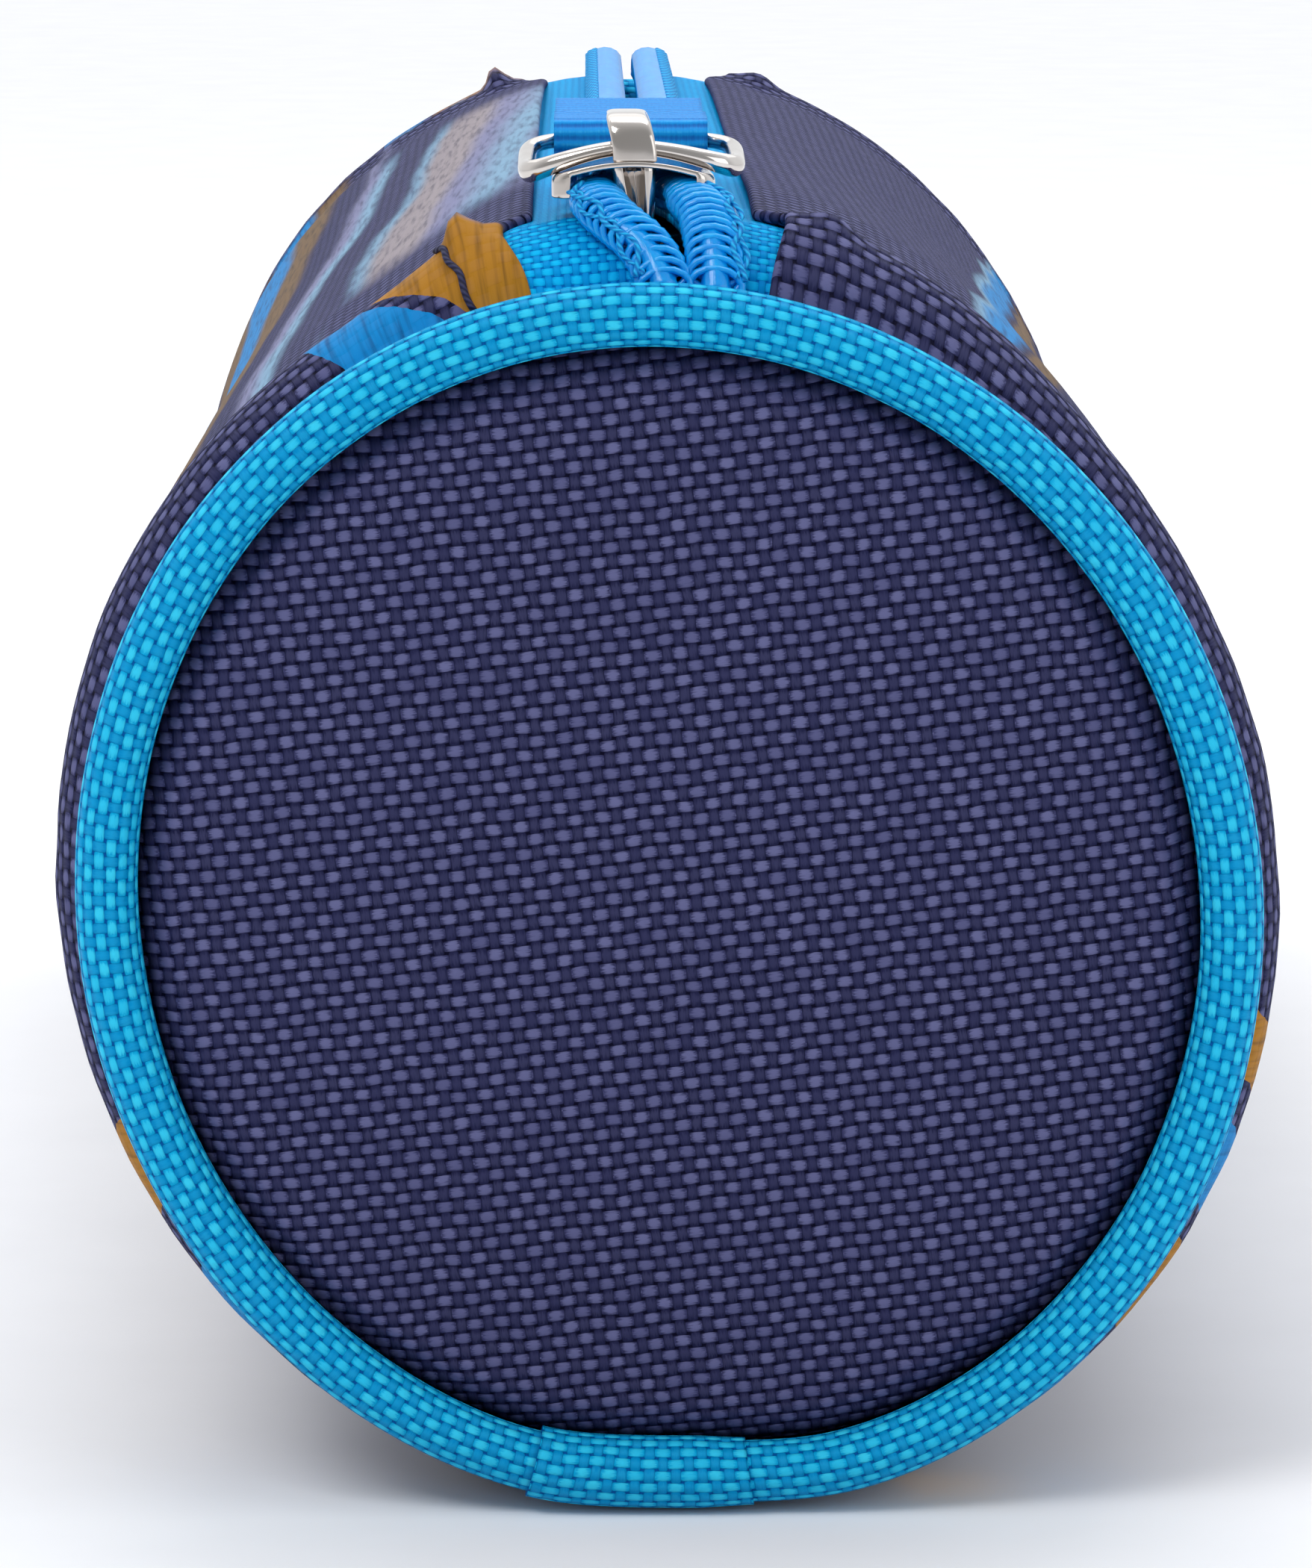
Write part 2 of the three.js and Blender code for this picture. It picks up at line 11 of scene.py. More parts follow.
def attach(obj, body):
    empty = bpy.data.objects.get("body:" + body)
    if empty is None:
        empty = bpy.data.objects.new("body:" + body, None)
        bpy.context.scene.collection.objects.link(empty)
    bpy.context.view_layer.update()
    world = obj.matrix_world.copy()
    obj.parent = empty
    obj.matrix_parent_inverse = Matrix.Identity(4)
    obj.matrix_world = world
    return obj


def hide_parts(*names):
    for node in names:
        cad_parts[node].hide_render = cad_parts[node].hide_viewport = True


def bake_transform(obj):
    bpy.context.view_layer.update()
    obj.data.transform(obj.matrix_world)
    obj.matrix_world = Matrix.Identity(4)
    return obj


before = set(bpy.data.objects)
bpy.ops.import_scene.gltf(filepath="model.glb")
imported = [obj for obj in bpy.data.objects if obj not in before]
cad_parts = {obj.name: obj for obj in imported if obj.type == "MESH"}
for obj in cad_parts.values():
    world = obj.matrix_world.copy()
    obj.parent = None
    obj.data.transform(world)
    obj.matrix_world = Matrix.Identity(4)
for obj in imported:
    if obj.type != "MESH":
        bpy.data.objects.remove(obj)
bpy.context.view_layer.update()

MM = 0.001
UP = np.array([0.0, 0.0, 1.0])
AHEAD = np.array([0.0, 1.0, 0.0])

# The case, in millimetres, as in the CAD model.
LENGTH = 206
HALF_WIDTH = 37.65
HALF_HEIGHT = 39.8
CENTRE_Z = 39.3
LEAN = 0.037
RING_LIFT = 0.3
WAIST = 1.5
SWELL = 1.7
ZIP_X = -LEAN * (HALF_HEIGHT + SWELL)

# The slider holds the top of the wall up near the front: lift at distances from the front,
# and how far from the zip it fades out on each side.
LIFT_AT = [2.6, 4.0, 4.7, 6.2, 8.2, 10.5, 195.5, 201.3]
LIFT_BY = [0.0, 0.3, 0.6, 1.5, 2.4, 3.0, 0.4, 0.0]
LIFT_FADE_LEFT = (8, 20)
LIFT_FADE_RIGHT = (10, 36)
ZIP_LINE = CENTRE_Z + HALF_HEIGHT + SWELL + 3.0

# Camera, fitted to the outline of the case.
CAMERA_DISTANCE = 0.428
CAMERA_PITCH = 9.516
CAMERA_YAW = 0.587
CAMERA_LENS = 155.74
AIM = (0.0, -0.103, 0.0393)
AIM_RIGHT = 0.002135
AIM_UP = -0.01935


# ---------- small helpers ----------


def linear(red, green, blue, alpha=1.0):
    """A colour given as sRGB values from 0 to 255."""
    parts = [c / 255 for c in (red, green, blue)]
    return tuple(
        c / 12.92 if c <= 0.04045 else ((c + 0.055) / 1.055) ** 2.4 for c in parts
    ) + (alpha,)


def smoothstep(value, low, high):
    share = np.clip((value - low) / (high - low), 0, 1)
    return share * share * (3 - 2 * share)


def unit(vectors):
    return vectors / np.linalg.norm(vectors, axis=-1, keepdims=True)


def wobble(points, scale, seed):
    """Smooth noise, about -1 to 1, at each point given in millimetres."""
    offset = Vector((seed * 17.3, seed * 5.1, seed * 9.7))
    flat = points.reshape(-1, points.shape[-1])
    values = [noise.noise(Vector(p) * scale + offset) for p in flat]
    return np.array(values).reshape(points.shape[:-1])


# ---------- meshes ----------


def make_object(name, vertices, faces, corner_uvs, material, smooth=True):
    """vertices in millimetres; corner_uvs holds one (u, v) in millimetres for each face corner."""
    mesh = bpy.data.meshes.new(name)
    mesh.from_pydata((np.asarray(vertices) * MM).tolist(), [], [list(map(int, f)) for f in faces])
    layer = mesh.uv_layers.new(name="cloth")
    layer.data.foreach_set("uv", np.asarray(corner_uvs, np.float32).ravel())
    built = bmesh.new()
    built.from_mesh(mesh)
    bmesh.ops.recalc_face_normals(built, faces=built.faces)
    built.to_mesh(mesh)
    built.free()
    if smooth:
        mesh.shade_smooth()
    mesh.materials.append(material)
    piece = bpy.data.objects.new(name, mesh)
    bpy.context.scene.collection.objects.link(piece)
    return piece


def grid_quads(rows, columns, wrap_rows=False, wrap_columns=False):
    """Corner indices of each quad, as (row, column) pairs that run on past the wrap."""
    i = np.arange(rows if wrap_rows else rows - 1)
    j = np.arange(columns if wrap_columns else columns - 1)
    i, j = (a.ravel() for a in np.meshgrid(i, j, indexing="ij"))
    corners = [(i, j), (i + 1, j), (i + 1, j + 1), (i, j + 1)]
    return np.stack([np.stack(corner, -1) for corner in corners], 1)


def thick_sheet(name, outer, inner, uv, material):
    """A closed sheet between two equal grids of points, with square rims."""
    rows, columns = outer.shape[:2]
    count = rows * columns
    face = grid_quads(rows, columns)
    top = face[..., 0] * columns + face[..., 1]
    quads = [top, (top + count)[:, ::-1]]
    lines = [
        [(0, j) for j in range(columns)],
        [(rows - 1, j) for j in reversed(range(columns))],
        [(i, 0) for i in reversed(range(rows))],
        [(i, columns - 1) for i in range(rows)],
    ]
    for line in lines:
        edge = np.array([i * columns + j for i, j in line])
        quads.append(np.stack([edge[:-1], edge[1:], edge[1:] + count, edge[:-1] + count], -1))
    faces = np.concatenate(quads)
    flat_uv = np.asarray(uv, float).reshape(-1, 2)
    corner_uvs = flat_uv[faces % count]
    vertices = np.concatenate([outer.reshape(-1, 3), inner.reshape(-1, 3)])
    return make_object(name, vertices, faces, corner_uvs.reshape(-1, 2), material)


def squarish(value, squareness):
    return np.sign(value) * np.abs(value) ** squareness


def tube(
    name, path, side_a, side_b, radius_a, radius_b, sides, material,
    closed=False, shape=None, start=0.0, squareness=1.0,
):
    """A tube round a path, across which unit vectors side_a and side_b lie."""
    turn = start + np.linspace(0, 2 * math.pi, sides, endpoint=False)
    radius_a, radius_b = (np.broadcast_to(r, len(path))[:, None, None] for r in (radius_a, radius_b))
    across_a = squarish(np.cos(turn), squareness)[None, :, None]
    across_b = squarish(np.sin(turn), squareness)[None, :, None]
    points = path[:, None] + radius_a * across_a * side_a[:, None] + radius_b * across_b * side_b[:, None]
    if shape:
        points = shape(points)
    rows = len(path)
    steps = np.linalg.norm(np.diff(np.concatenate([path, path[:1]]), axis=0), axis=1)
    along = np.concatenate([[0], np.cumsum(steps)])
    around = np.linspace(0, 1, sides + 1) * 2 * math.pi * float(np.mean((radius_a + radius_b) / 2))
    face = grid_quads(rows, sides, wrap_rows=closed, wrap_columns=True)
    faces = (face[..., 0] % rows) * sides + face[..., 1] % sides
    corner_uvs = np.stack([along[face[..., 0]], around[face[..., 1]]], -1).reshape(-1, 2)
    faces = faces.tolist()
    if not closed:
        faces += [list(range(sides)), [(rows - 1) * sides + k for k in range(sides)]]
        corner_uvs = np.concatenate([corner_uvs, np.zeros((2 * sides, 2))])
    return make_object(name, points.reshape(-1, 3), faces, corner_uvs, material)


def cross_frame(path, reference):
    """Two unit vectors across the path at each of its points."""
    tangent = unit(np.gradient(path, axis=0))
    side_a = unit(np.cross(tangent, reference))
    return side_a, np.cross(tangent, side_a)


# ---------- node graphs ----------


class Graph:
    """A material's nodes, written as short expressions."""

    def __init__(self, name):
        self.material = bpy.data.materials.new(name)
        self.material.use_nodes = True
        self.tree = self.material.node_tree
        self.shader = self.tree.nodes["Principled BSDF"]

    def node(self, kind, inputs=(), **settings):
        made = self.tree.nodes.new("ShaderNode" + kind)
        for key, value in settings.items():
            setattr(made, key, value)
        for key, value in dict(inputs).items():
            self.put(made.inputs[key], value)
        return made

    def put(self, socket, value):
        if isinstance(value, bpy.types.NodeSocket):
            self.tree.links.new(value, socket)
        else:
            socket.default_value = value

    def math(self, operation, *values, clamp=False):
        return self.node("Math", enumerate(values), operation=operation, use_clamp=clamp).outputs[0]

    def add(self, a, b):
        return self.math("ADD", a, b)

    def subtract(self, a, b):
        return self.math("SUBTRACT", a, b)

    def times(self, a, b):
        return self.math("MULTIPLY", a, b)

    def step(self, value, low, high):
        """0 below low, 1 above high, smooth between them."""
        limits = {"Value": value, "From Min": low, "From Max": high}
        made = self.node("MapRange", limits, interpolation_type="SMOOTHSTEP")
        return made.outputs["Result"]

    def mix(self, share, a, b, blend="MIX"):
        made = self.node("Mix", data_type="RGBA", blend_type=blend)
        for socket, value in ((made.inputs[0], share), (made.inputs[6], a), (made.inputs[7], b)):
            self.put(socket, value)
        return made.outputs[2]

    def choose(self, share, a, b):
        return self.node("Mix", {0: share, 2: a, 3: b}, data_type="FLOAT").outputs[0]

    def vector(self, x, y, z=0.0):
        return self.node("CombineXYZ", {0: x, 1: y, 2: z}).outputs[0]

    def noise(self, where, scale, detail=2.0):
        return self.node("TexNoise", {"Vector": where, "Scale": scale, "Detail": detail}).outputs["Fac"]

    def uv(self):
        """The cloth's own two directions, in millimetres."""
        split = self.node("SeparateXYZ", {0: self.node("UVMap", uv_map="cloth").outputs[0]})
        return split.outputs[0], split.outputs[1]

    def ramp(self, value, stops, interpolation="LINEAR"):
        made = self.node("ValToRGB", {0: value})
        made.color_ramp.interpolation = interpolation
        elements = made.color_ramp.elements
        while len(elements) < len(stops):
            elements.new(0.5)
        for element, (position, colour) in zip(elements, stops):
            element.position = position
            element.color = colour
        return made

    def bump(self, height, depth_mm, strength=1.0):
        made = self.node("Bump", {"Height": height, "Distance": depth_mm * MM, "Strength": strength})
        self.put(self.shader.inputs["Normal"], made.outputs[0])

    def finish(self, **values):
        for key, value in values.items():
            self.put(self.shader.inputs[key.replace("_", " ")], value)
        return self.material


WEFT_HALF = 0.40
WARP_HALF = 0.38


def weave(g, u, v, pitch_u, pitch_v, waver=0.1):
    """A plain weave of two round threads, each riding over and under the other.

    Returns the height of the thread on top (about -0.6 to 1), 1 where that thread runs along u,
    a random value for each float, and fine streaks along the thread.
    """
    spread = g.vector(g.times(u, 0.35), g.times(v, 0.35))
    shifted = g.vector(g.times(u, 0.35), g.times(v, 0.35), 7.0)
    x = g.add(g.times(u, 1 / pitch_u), g.times(g.subtract(g.noise(spread, 1.0, 1.0), 0.5), waver * 4))
    y = g.add(g.times(v, 1 / pitch_v), g.times(g.subtract(g.noise(shifted, 1.0, 1.0), 0.5), waver * 4))
    column, row = g.math("FLOOR", x), g.math("FLOOR", y)
    sign = g.subtract(g.times(g.math("FLOORED_MODULO", g.add(column, row), 2.0), 2.0), 1.0)
    from_x = g.subtract(g.subtract(x, column), 0.5)
    from_y = g.subtract(g.subtract(y, row), 0.5)

    def thread(across, half, along, lean):
        edge = g.times(across, 1 / half)
        crown = g.math("SQRT", g.math("MAXIMUM", g.subtract(1.0, g.times(edge, edge)), 0.0))
        missing = g.subtract(1.0, g.math("MINIMUM", g.times(crown, 20.0), 1.0))
        wave = g.times(g.times(g.math("COSINE", g.times(along, math.pi)), sign), lean)
        return g.subtract(g.add(g.times(crown, 0.5), wave), g.times(missing, 0.8))

    weft = thread(from_y, WEFT_HALF, from_x, 0.5)
    warp = g.subtract(thread(from_x, WARP_HALF, from_y, -0.5), 0.12)
    over = g.math("GREATER_THAN", weft, warp)
    height = g.math("MAXIMUM", weft, warp)
    cell = {"Vector": g.vector(column, row, over)}
    random = g.node("TexWhiteNoise", cell, noise_dimensions="3D").outputs["Value"]
    streak_u = g.choose(over, g.times(x, 9.0), g.times(x, 1.5))
    streak_v = g.choose(over, g.times(y, 1.5), g.times(y, 9.0))
    streak = g.noise(g.vector(streak_u, streak_v, g.times(random, 9.0)), 1.0, 1.0)
    return height, over, random, streak


def threads(g, u, v, pitch, dark, warp, weft, pale, waver=0.1, cloud=0.25):
    """The colours of a plain weave and its height: dark painted shade in the gaps, pale filaments painted as
    highlights on the crowns.
    """
    height, over, random, streak = weave(g, u, v, *pitch, waver=waver)
    colour = g.mix(over, warp, weft)
    shade = g.noise(g.vector(u, v), 0.06, 3.0)
    colour = g.mix(g.times(g.add(random, g.times(shade, 0.8)), cloud), colour, dark)
    # Painted highlight: the crowns of the threads, streaked along their filaments, turn towards the pale
    # colour.
    crown = g.step(g.add(height, g.times(g.subtract(streak, 0.5), 1.0)), 0.3, 0.85)
    crown = g.times(crown, g.add(0.55, g.times(random, 0.45)))
    colour = g.mix(g.times(crown, g.choose(over, 0.16, 0.7)), colour, pale)
    # Painted shade: in the gaps where neither thread is high, the colour turns to the dark one.
    return g.mix(g.step(height, -0.1, 0.34), dark, colour), height


def woven(name, pitch, dark, warp, weft, pale, depth, roughness, waver=0.1, cloud=0.25, gloss=0.04):
    g = Graph(name)
    u, v = g.uv()
    colour, height = threads(g, u, v, pitch, dark, warp, weft, pale, waver, cloud)
    g.bump(height, depth)
    return g.finish(Base_Color=colour, Roughness=roughness, Specular_IOR_Level=gloss)


# The darkest navy is painted shade for the gaps of the weave, and the palest navy is a painted highlight on the
# crowns of its threads.
NAVY = linear(35, 37, 72)
NAVY_GAP_SHADE = linear(9, 9, 34)
NAVY_WEFT = linear(56, 58, 98)
NAVY_CROWN_HIGHLIGHT = linear(112, 114, 158)
GOLD = linear(166, 114, 26)
BLUE = linear(2, 128, 196)
LILAC = linear(128, 130, 166)
ICE = linear(124, 164, 192)
ROSE = linear(152, 142, 146)
TAN = linear(112, 86, 54)

CLOTH_PITCH = (0.87, 0.885)
NAVY_THREADS = dict(pitch=CLOTH_PITCH, dark=NAVY_GAP_SHADE, warp=NAVY, weft=NAVY_WEFT, pale=NAVY_CROWN_HIGHLIGHT)

# The print's strokes are given by their distance from the zip, up to this far.
ARC_SCALE = 125.0


def stops(*rows):
    """Print strokes: (millimetres from the zip, colour, how fully it covers)."""
    return [(at / ARC_SCALE, colour[:3] + (cover,)) for at, colour, cover in rows]


def printed_cloth(name, near_stops, far_stops, slant, pale_from):
    """The wall's navy weave under a print of lengthwise strokes; crisp near each end, soft between.

    slant is how far the soft strokes shift sideways for each millimetre along the case, and
    pale_from how far round from the zip they begin close to the ends.
    """
    g = Graph(name)
    u, v = g.uv()
    base, height = threads(g, u, v, **NAVY_THREADS)
    from_end = g.math("MINIMUM", v, g.subtract(float(LENGTH), v))
    sway = g.times(g.subtract(g.noise(g.vector(g.times(u, 0.05), g.times(v, 0.02)), 1.0, 2.0), 0.5), 5.0)
    ragged = g.times(g.subtract(g.noise(g.vector(u, v), 0.5, 3.0), 0.5), 0.8)
    spread = {"Value": u, "From Min": 16.0, "From Max": 23.0, "To Min": 1.25, "To Max": 0.45}
    fan = g.node("MapRange", spread).outputs["Result"]
    run = g.times(g.subtract(from_end, 4.8), fan)
    near_at = g.times(g.subtract(g.add(u, ragged), run), 1 / ARC_SCALE)
    turned = g.times(g.subtract(v, 60.0), slant)
    far_at = g.times(g.add(g.add(g.add(u, sway), g.times(ragged, 0.6)), turned), 1 / ARC_SCALE)
    near = g.ramp(near_at, near_stops, "CONSTANT")
    far = g.ramp(far_at, far_stops, "EASE")
    beyond = g.step(g.add(from_end, g.times(ragged, 1.2)), 10.2, 11.6)
    ink = g.mix(beyond, near.outputs["Color"], far.outputs["Color"])
    late = g.math("MAXIMUM", g.step(from_end, 30.0, 52.0), g.step(u, pale_from - 2.0, pale_from))
    cover = g.choose(beyond, near.outputs["Alpha"], g.times(far.outputs["Alpha"], late))
    brush = g.noise(g.vector(g.times(u, 1.6), g.times(v, 0.12)), 1.2, 3.0)
    worn = g.mix(g.step(brush, 0.42, 0.75), ink, g.mix(1.0, ink, (0.45, 0.45, 0.5, 1), "MULTIPLY"))
    colour = g.mix(g.times(cover, 0.94), base, worn)
    g.bump(g.times(height, g.choose(cover, 1.0, 0.12)), 0.22)
    return g.finish(Base_Color=colour, Roughness=g.choose(cover, 0.66, 0.55), Specular_IOR_Level=0.06)


LEFT_NEAR = stops(
    (0, GOLD, 1), (11.9, NAVY, 0), (13.3, BLUE, 1), (20.1, NAVY, 0),
    (66, NAVY, 0), (74, GOLD, 1), (80, NAVY, 0), (84, BLUE, 1), (90, NAVY, 0),
)
LEFT_FAR = stops(
    (0, NAVY, 0), (7.5, LILAC, 0.6), (10, ICE, 0.95), (14, LILAC, 0.9), (16, ROSE, 0.95), (19, ROSE, 0.9),
    (20.5, ICE, 0.8), (22, NAVY, 0.2), (24.5, NAVY, 0.1), (26, ICE, 0.95), (28, LILAC, 0.9), (30, NAVY, 0.2),
    (32, NAVY, 0.2), (34, TAN, 1), (37, TAN, 1), (38.5, BLUE, 1), (43, BLUE, 1), (44.5, TAN, 1),
    (48, TAN, 1), (50, NAVY, 0.2), (60, NAVY, 0), (63, BLUE, 1), (70, BLUE, 0.9), (72, NAVY, 0),
    (78, TAN, 0.9), (83, TAN, 0.9), (87, NAVY, 0),
)
RIGHT_NEAR = stops(
    (0, NAVY, 0), (67, GOLD, 1), (71.5, NAVY, 0), (74.5, BLUE, 1), (80, NAVY, 0), (82.5, GOLD, 1),
    (89, NAVY, 0), (91.5, BLUE, 1), (97, NAVY, 0), (99, GOLD, 1), (106, NAVY, 0),
)
RIGHT_FAR = stops(
    (0, NAVY, 0), (25.2, NAVY, 0), (26.2, ICE, 0.95), (27.2, BLUE, 1), (29, BLUE, 1), (29.6, NAVY, 0.5),
    (30.4, TAN, 1), (32, TAN, 1), (33.2, NAVY, 0.2), (36, NAVY, 0), (38, BLUE, 0.95), (42, BLUE, 0.95),
    (43.5, NAVY, 0.2), (46, TAN, 0.95), (50, TAN, 0.95), (52, NAVY, 0), (66, NAVY, 0), (69, TAN, 0.9),
    (73, NAVY, 0), (79, BLUE, 0.9), (84, NAVY, 0),
)


def ribbed(name, pitch, dark, base, pale, depth):
    """Grosgrain ribbon: ribs across it, with fine lengthwise yarns over them."""
    g = Graph(name)
    u, v = g.uv()
    phase = g.times(g.add(v, g.times(g.noise(g.vector(u, v), 0.4, 1.0), 0.15)), 2 * math.pi / pitch)
    rib = g.add(g.times(g.math("COSINE", phase), 0.5), 0.5)
    yarn = g.noise(g.vector(g.times(u, 6.0), g.times(v, 0.7)), 1.0, 2.0)
    height = g.add(g.times(rib, 0.75), g.times(yarn, 0.5))
    # Painted shade: where the surface is low, between the ribs and yarns, the colour turns dark.
    colour = g.mix(g.step(height, 0.1, 0.75), dark, base)
    # Painted highlight: the highest tops of the ribs turn pale.
    colour = g.mix(g.times(g.step(height, 0.85, 1.2), 0.5), colour, pale)
    g.bump(height, depth)
    return g.finish(Base_Color=colour, Roughness=0.55, Specular_IOR_Level=0.15)


def nylon():
    """Clear blue coil wire."""
    g = Graph("zip_coil_nylon")
    u, v = g.uv()
    cloudy = g.noise(g.vector(u, v), 0.8, 2.0)
    colour = g.mix(cloudy, linear(0, 122, 212), linear(4, 172, 240))
    g.bump(g.noise(g.vector(g.times(u, 0.5), g.times(v, 3.0)), 2.0, 2.0), 0.02)
    return g.finish(
        Base_Color=colour, Roughness=0.2, Specular_IOR_Level=0.45,
        Subsurface_Weight=0.15, Subsurface_Scale=0.001,
    )


def yarn(name, dark, pale):
    g = Graph(name)
    u, v = g.uv()
    twist = g.math("SINE", g.times(g.add(g.times(u, 5.0), g.times(v, 6.0)), 2.2))
    height = g.add(g.times(twist, 0.5), 0.5)
    # Painted highlight and shade: the colour is pale on the ridges of the twist and dark in its grooves, with
    # some random mottling.
    colour = g.mix(g.add(g.times(height, 0.7), g.times(g.noise(g.vector(u, v), 3.0, 2.0), 0.3)), dark, pale)
    g.bump(height, 0.06)
    return g.finish(Base_Color=colour, Roughness=0.6, Specular_IOR_Level=0.2)


def nickel():
    g = Graph("bright_nickel")
    where = g.node("TexCoord").outputs["Object"]
    smear = g.noise(where, 160.0, 2.0)
    colour = g.mix(smear, linear(222, 218, 216), linear(178, 168, 158))
    g.bump(g.noise(where, 900.0, 3.0), 0.008, 0.5)
    return g.finish(Base_Color=colour, Metallic=1.0, Roughness=g.add(g.times(smear, 0.14), 0.07))


def foam_material():
    g = Graph("foam")
    where = g.node("TexCoord").outputs["Object"]
    cells = g.node("TexVoronoi", {"Vector": where, "Scale": 1500.0}).outputs["Distance"]
    # Painted shade: the hollows of the cells, where the bump is lowest, are coloured darker.
    colour = g.mix(g.step(cells, 0.1, 0.6), linear(168, 168, 164), linear(222, 222, 216))
    g.bump(cells, 0.15)
    return g.finish(Base_Color=colour, Roughness=0.9, Specular_IOR_Level=0.1)


# ---------- the shape of the case ----------


def from_end(y):
    """Distance to the nearer end of the case."""
    return LENGTH / 2 - np.abs(y)


SWELL_AT = [2.6, 3.4, 4.0, 4.7, 5.4, 6.2, 7.2, 8.2, 9.3, 10.5, 12.0, 15.0, 20.0, 32.0]
SWELL_BY = [-2.6, -1.9, -1.35, -0.75, 0.0, 0.65, 1.2, 1.55, 1.75, 1.75, 1.45, 1.15, 1.3, 1.7]


def swell(y):
    return np.interp(from_end(y), SWELL_AT, SWELL_BY)


def waist(y):
    return WAIST * np.clip((from_end(y) - 10.5) / (LENGTH / 2 - 10.5), 0, 1)


def lift(side, angle, y):
    """How far the slider holds the wall up, at an angle from the middle height up."""
    offset = (HALF_WIDTH + SWELL) * np.cos(angle)
    fade = LIFT_FADE_LEFT if side < 0 else LIFT_FADE_RIGHT
    share = np.where(np.sin(angle) > 0, 1 - smoothstep(offset, *fade), 0)
    return share * np.interp(y + LENGTH / 2, LIFT_AT, LIFT_BY)


def soft_floor(z, floor):
    """z, but never under the floor, turning into it smoothly."""
    above = z - floor
    return floor + 0.5 * (above + np.sqrt(above * above + 1.0))


def outline(side, angle, inset, y, floor):
    """A point of an end's outline; angle is from the middle height up, and side is -1 left or 1 right."""
    rise = (HALF_HEIGHT - inset) * np.sin(angle)
    x = side * (HALF_WIDTH - inset - waist(y)) * np.cos(angle) - LEAN * rise
    z = soft_floor(CENTRE_Z + rise, floor)
    return np.stack(np.broadcast_arrays(x, y, z), -1)


def lifted(side, angle, inset, y, floor):
    """A point of the wall between the ends, held up by the slider."""
    points = outline(side, angle, inset, y, floor)
    points[..., 2] += lift(side, angle, y)
    return points


def angle_at(side, offset, y):
    """The outline's angle at a sideways distance from the zip's middle, near the top."""
    half = HALF_WIDTH - waist(y)
    shift = side * (ZIP_X + LEAN * HALF_HEIGHT)
    return np.arccos(np.clip((offset + shift) / half, -1, 1))


def lumps(side, angle, y):
    """How far the padded wall stands out, in millimetres: soft folds along it and puckers by the seams."""
    u = from_end(y)
    along = np.stack(np.broadcast_arrays(angle * 38 * 0.05, y * 0.012, side * 3.0), -1)
    folds = 0.55 * wobble(along, 1.0, 1) * smoothstep(u, 12, 40)
    fine = np.stack(np.broadcast_arrays(angle * 38 * 0.22, y * 0.10, side * 5.0), -1)
    dents = 0.07 * wobble(fine, 1.0, 2) * smoothstep(u, 4, 9)
    gather = np.stack(np.broadcast_arrays(angle * 38 * 0.30, y * 0.02, side * 8.0), -1)
    puckers = 0.12 * wobble(gather, 1.0, 3) * smoothstep(u, 4, 8) * (1 - smoothstep(u, 12, 22))
    from_zip = 38 * (math.pi / 2 - angle)
    width, height, sag = (0.9, 1.6, 1.1) if side < 0 else (1.6, 0.8, 0.0)
    peak = height * np.exp(-(((from_zip - 11.5) / width) ** 2) - ((u - 10.6) / 1.8) ** 2)
    peak = peak - sag * np.exp(-(((from_zip - 7.0) / 2.2) ** 2) - ((u - 9.5) / 3.0) ** 2)
    off_table = smoothstep(angle, -1.5, -0.3)
    return (folds + dents + puckers) * off_table + peak


def wall_point(side, angle, depth, y):
    return lifted(side, angle, depth - swell(y) - lumps(side, angle, y), y, depth)


def stations(start):
    near = np.concatenate([np.arange(start, 9, 0.45), np.arange(9, 20, 0.8), np.arange(20, 40, 2.0)])
    middle = np.linspace(40, LENGTH - 40, 42)
    return np.concatenate([near, middle, (LENGTH - near)[::-1]]) - LENGTH / 2


# The fabric's folded edge, and how much closer to the zip it comes at the end seams.
FABRIC_FOLD = 0.8
HEM = 5.0
SLIT = {"left": 9.2, "right": 9.0}
DRAWN = 1.8  # how much closer to the zip the walls' edges come behind the crest
TUCK = {"left": 1.4, "right": 0.7}


def wall_layer(name, side, start, slit, depth, thick, material, tuck=0.0, hem=False):
    """One side of one layer of the wall, from the bottom seam up to the zip, with or without a hem."""
    y = stations(start)[:, None]
    from_front = from_end(y)
    drawn = (DRAWN if tuck else 0) * smoothstep(from_front, 10.5, 14.5)
    edge = angle_at(side, slit - tuck * (1 - smoothstep(from_front, 4.5, 9.5)) - drawn, y)
    share = np.concatenate([np.linspace(0, 0.86, 76), np.linspace(0.86, 1, 26)[1:]])
    angle = -math.pi / 2 + (edge + math.pi / 2) * share
    over = np.full(angle.shape, float(depth))
    under = over + thick
    if hem:
        turn = np.linspace(0, math.pi, 9)[1:]
        radius = FABRIC_FOLD / 2
        reach = np.concatenate([radius * np.sin(turn), -np.linspace(0.4, HEM, 10)])
        sink = np.concatenate([radius * (1 - np.cos(turn)), np.full(10, FABRIC_FOLD)])
        turned = radius - (radius - thick) * np.cos(turn)
        inner_sink = np.concatenate([turned, np.full(10, FABRIC_FOLD - thick)])
        rows = np.ones_like(y)
        angle = np.concatenate([angle, edge + rows * reach / 37.0], 1)
        over = np.concatenate([over, rows * sink], 1)
        under = np.concatenate([under, rows * inner_sink], 1)
    outer = wall_point(side, angle, over, y)
    inner = wall_point(side, angle, under, y)
    from_zip = 38.7 * (math.pi / 2 - angle)
    uv = np.stack(np.broadcast_arrays(from_zip, y + LENGTH / 2), -1)
    return thick_sheet(name, outer, inner, uv, material)


def follow_flap(piece):
    """Bakes a piece's placement into its mesh and reads out its points, which are not used."""
    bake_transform(piece)
    points = np.empty(len(piece.data.vertices) * 3, np.float32)
    piece.data.vertices.foreach_get("co", points)
    return piece


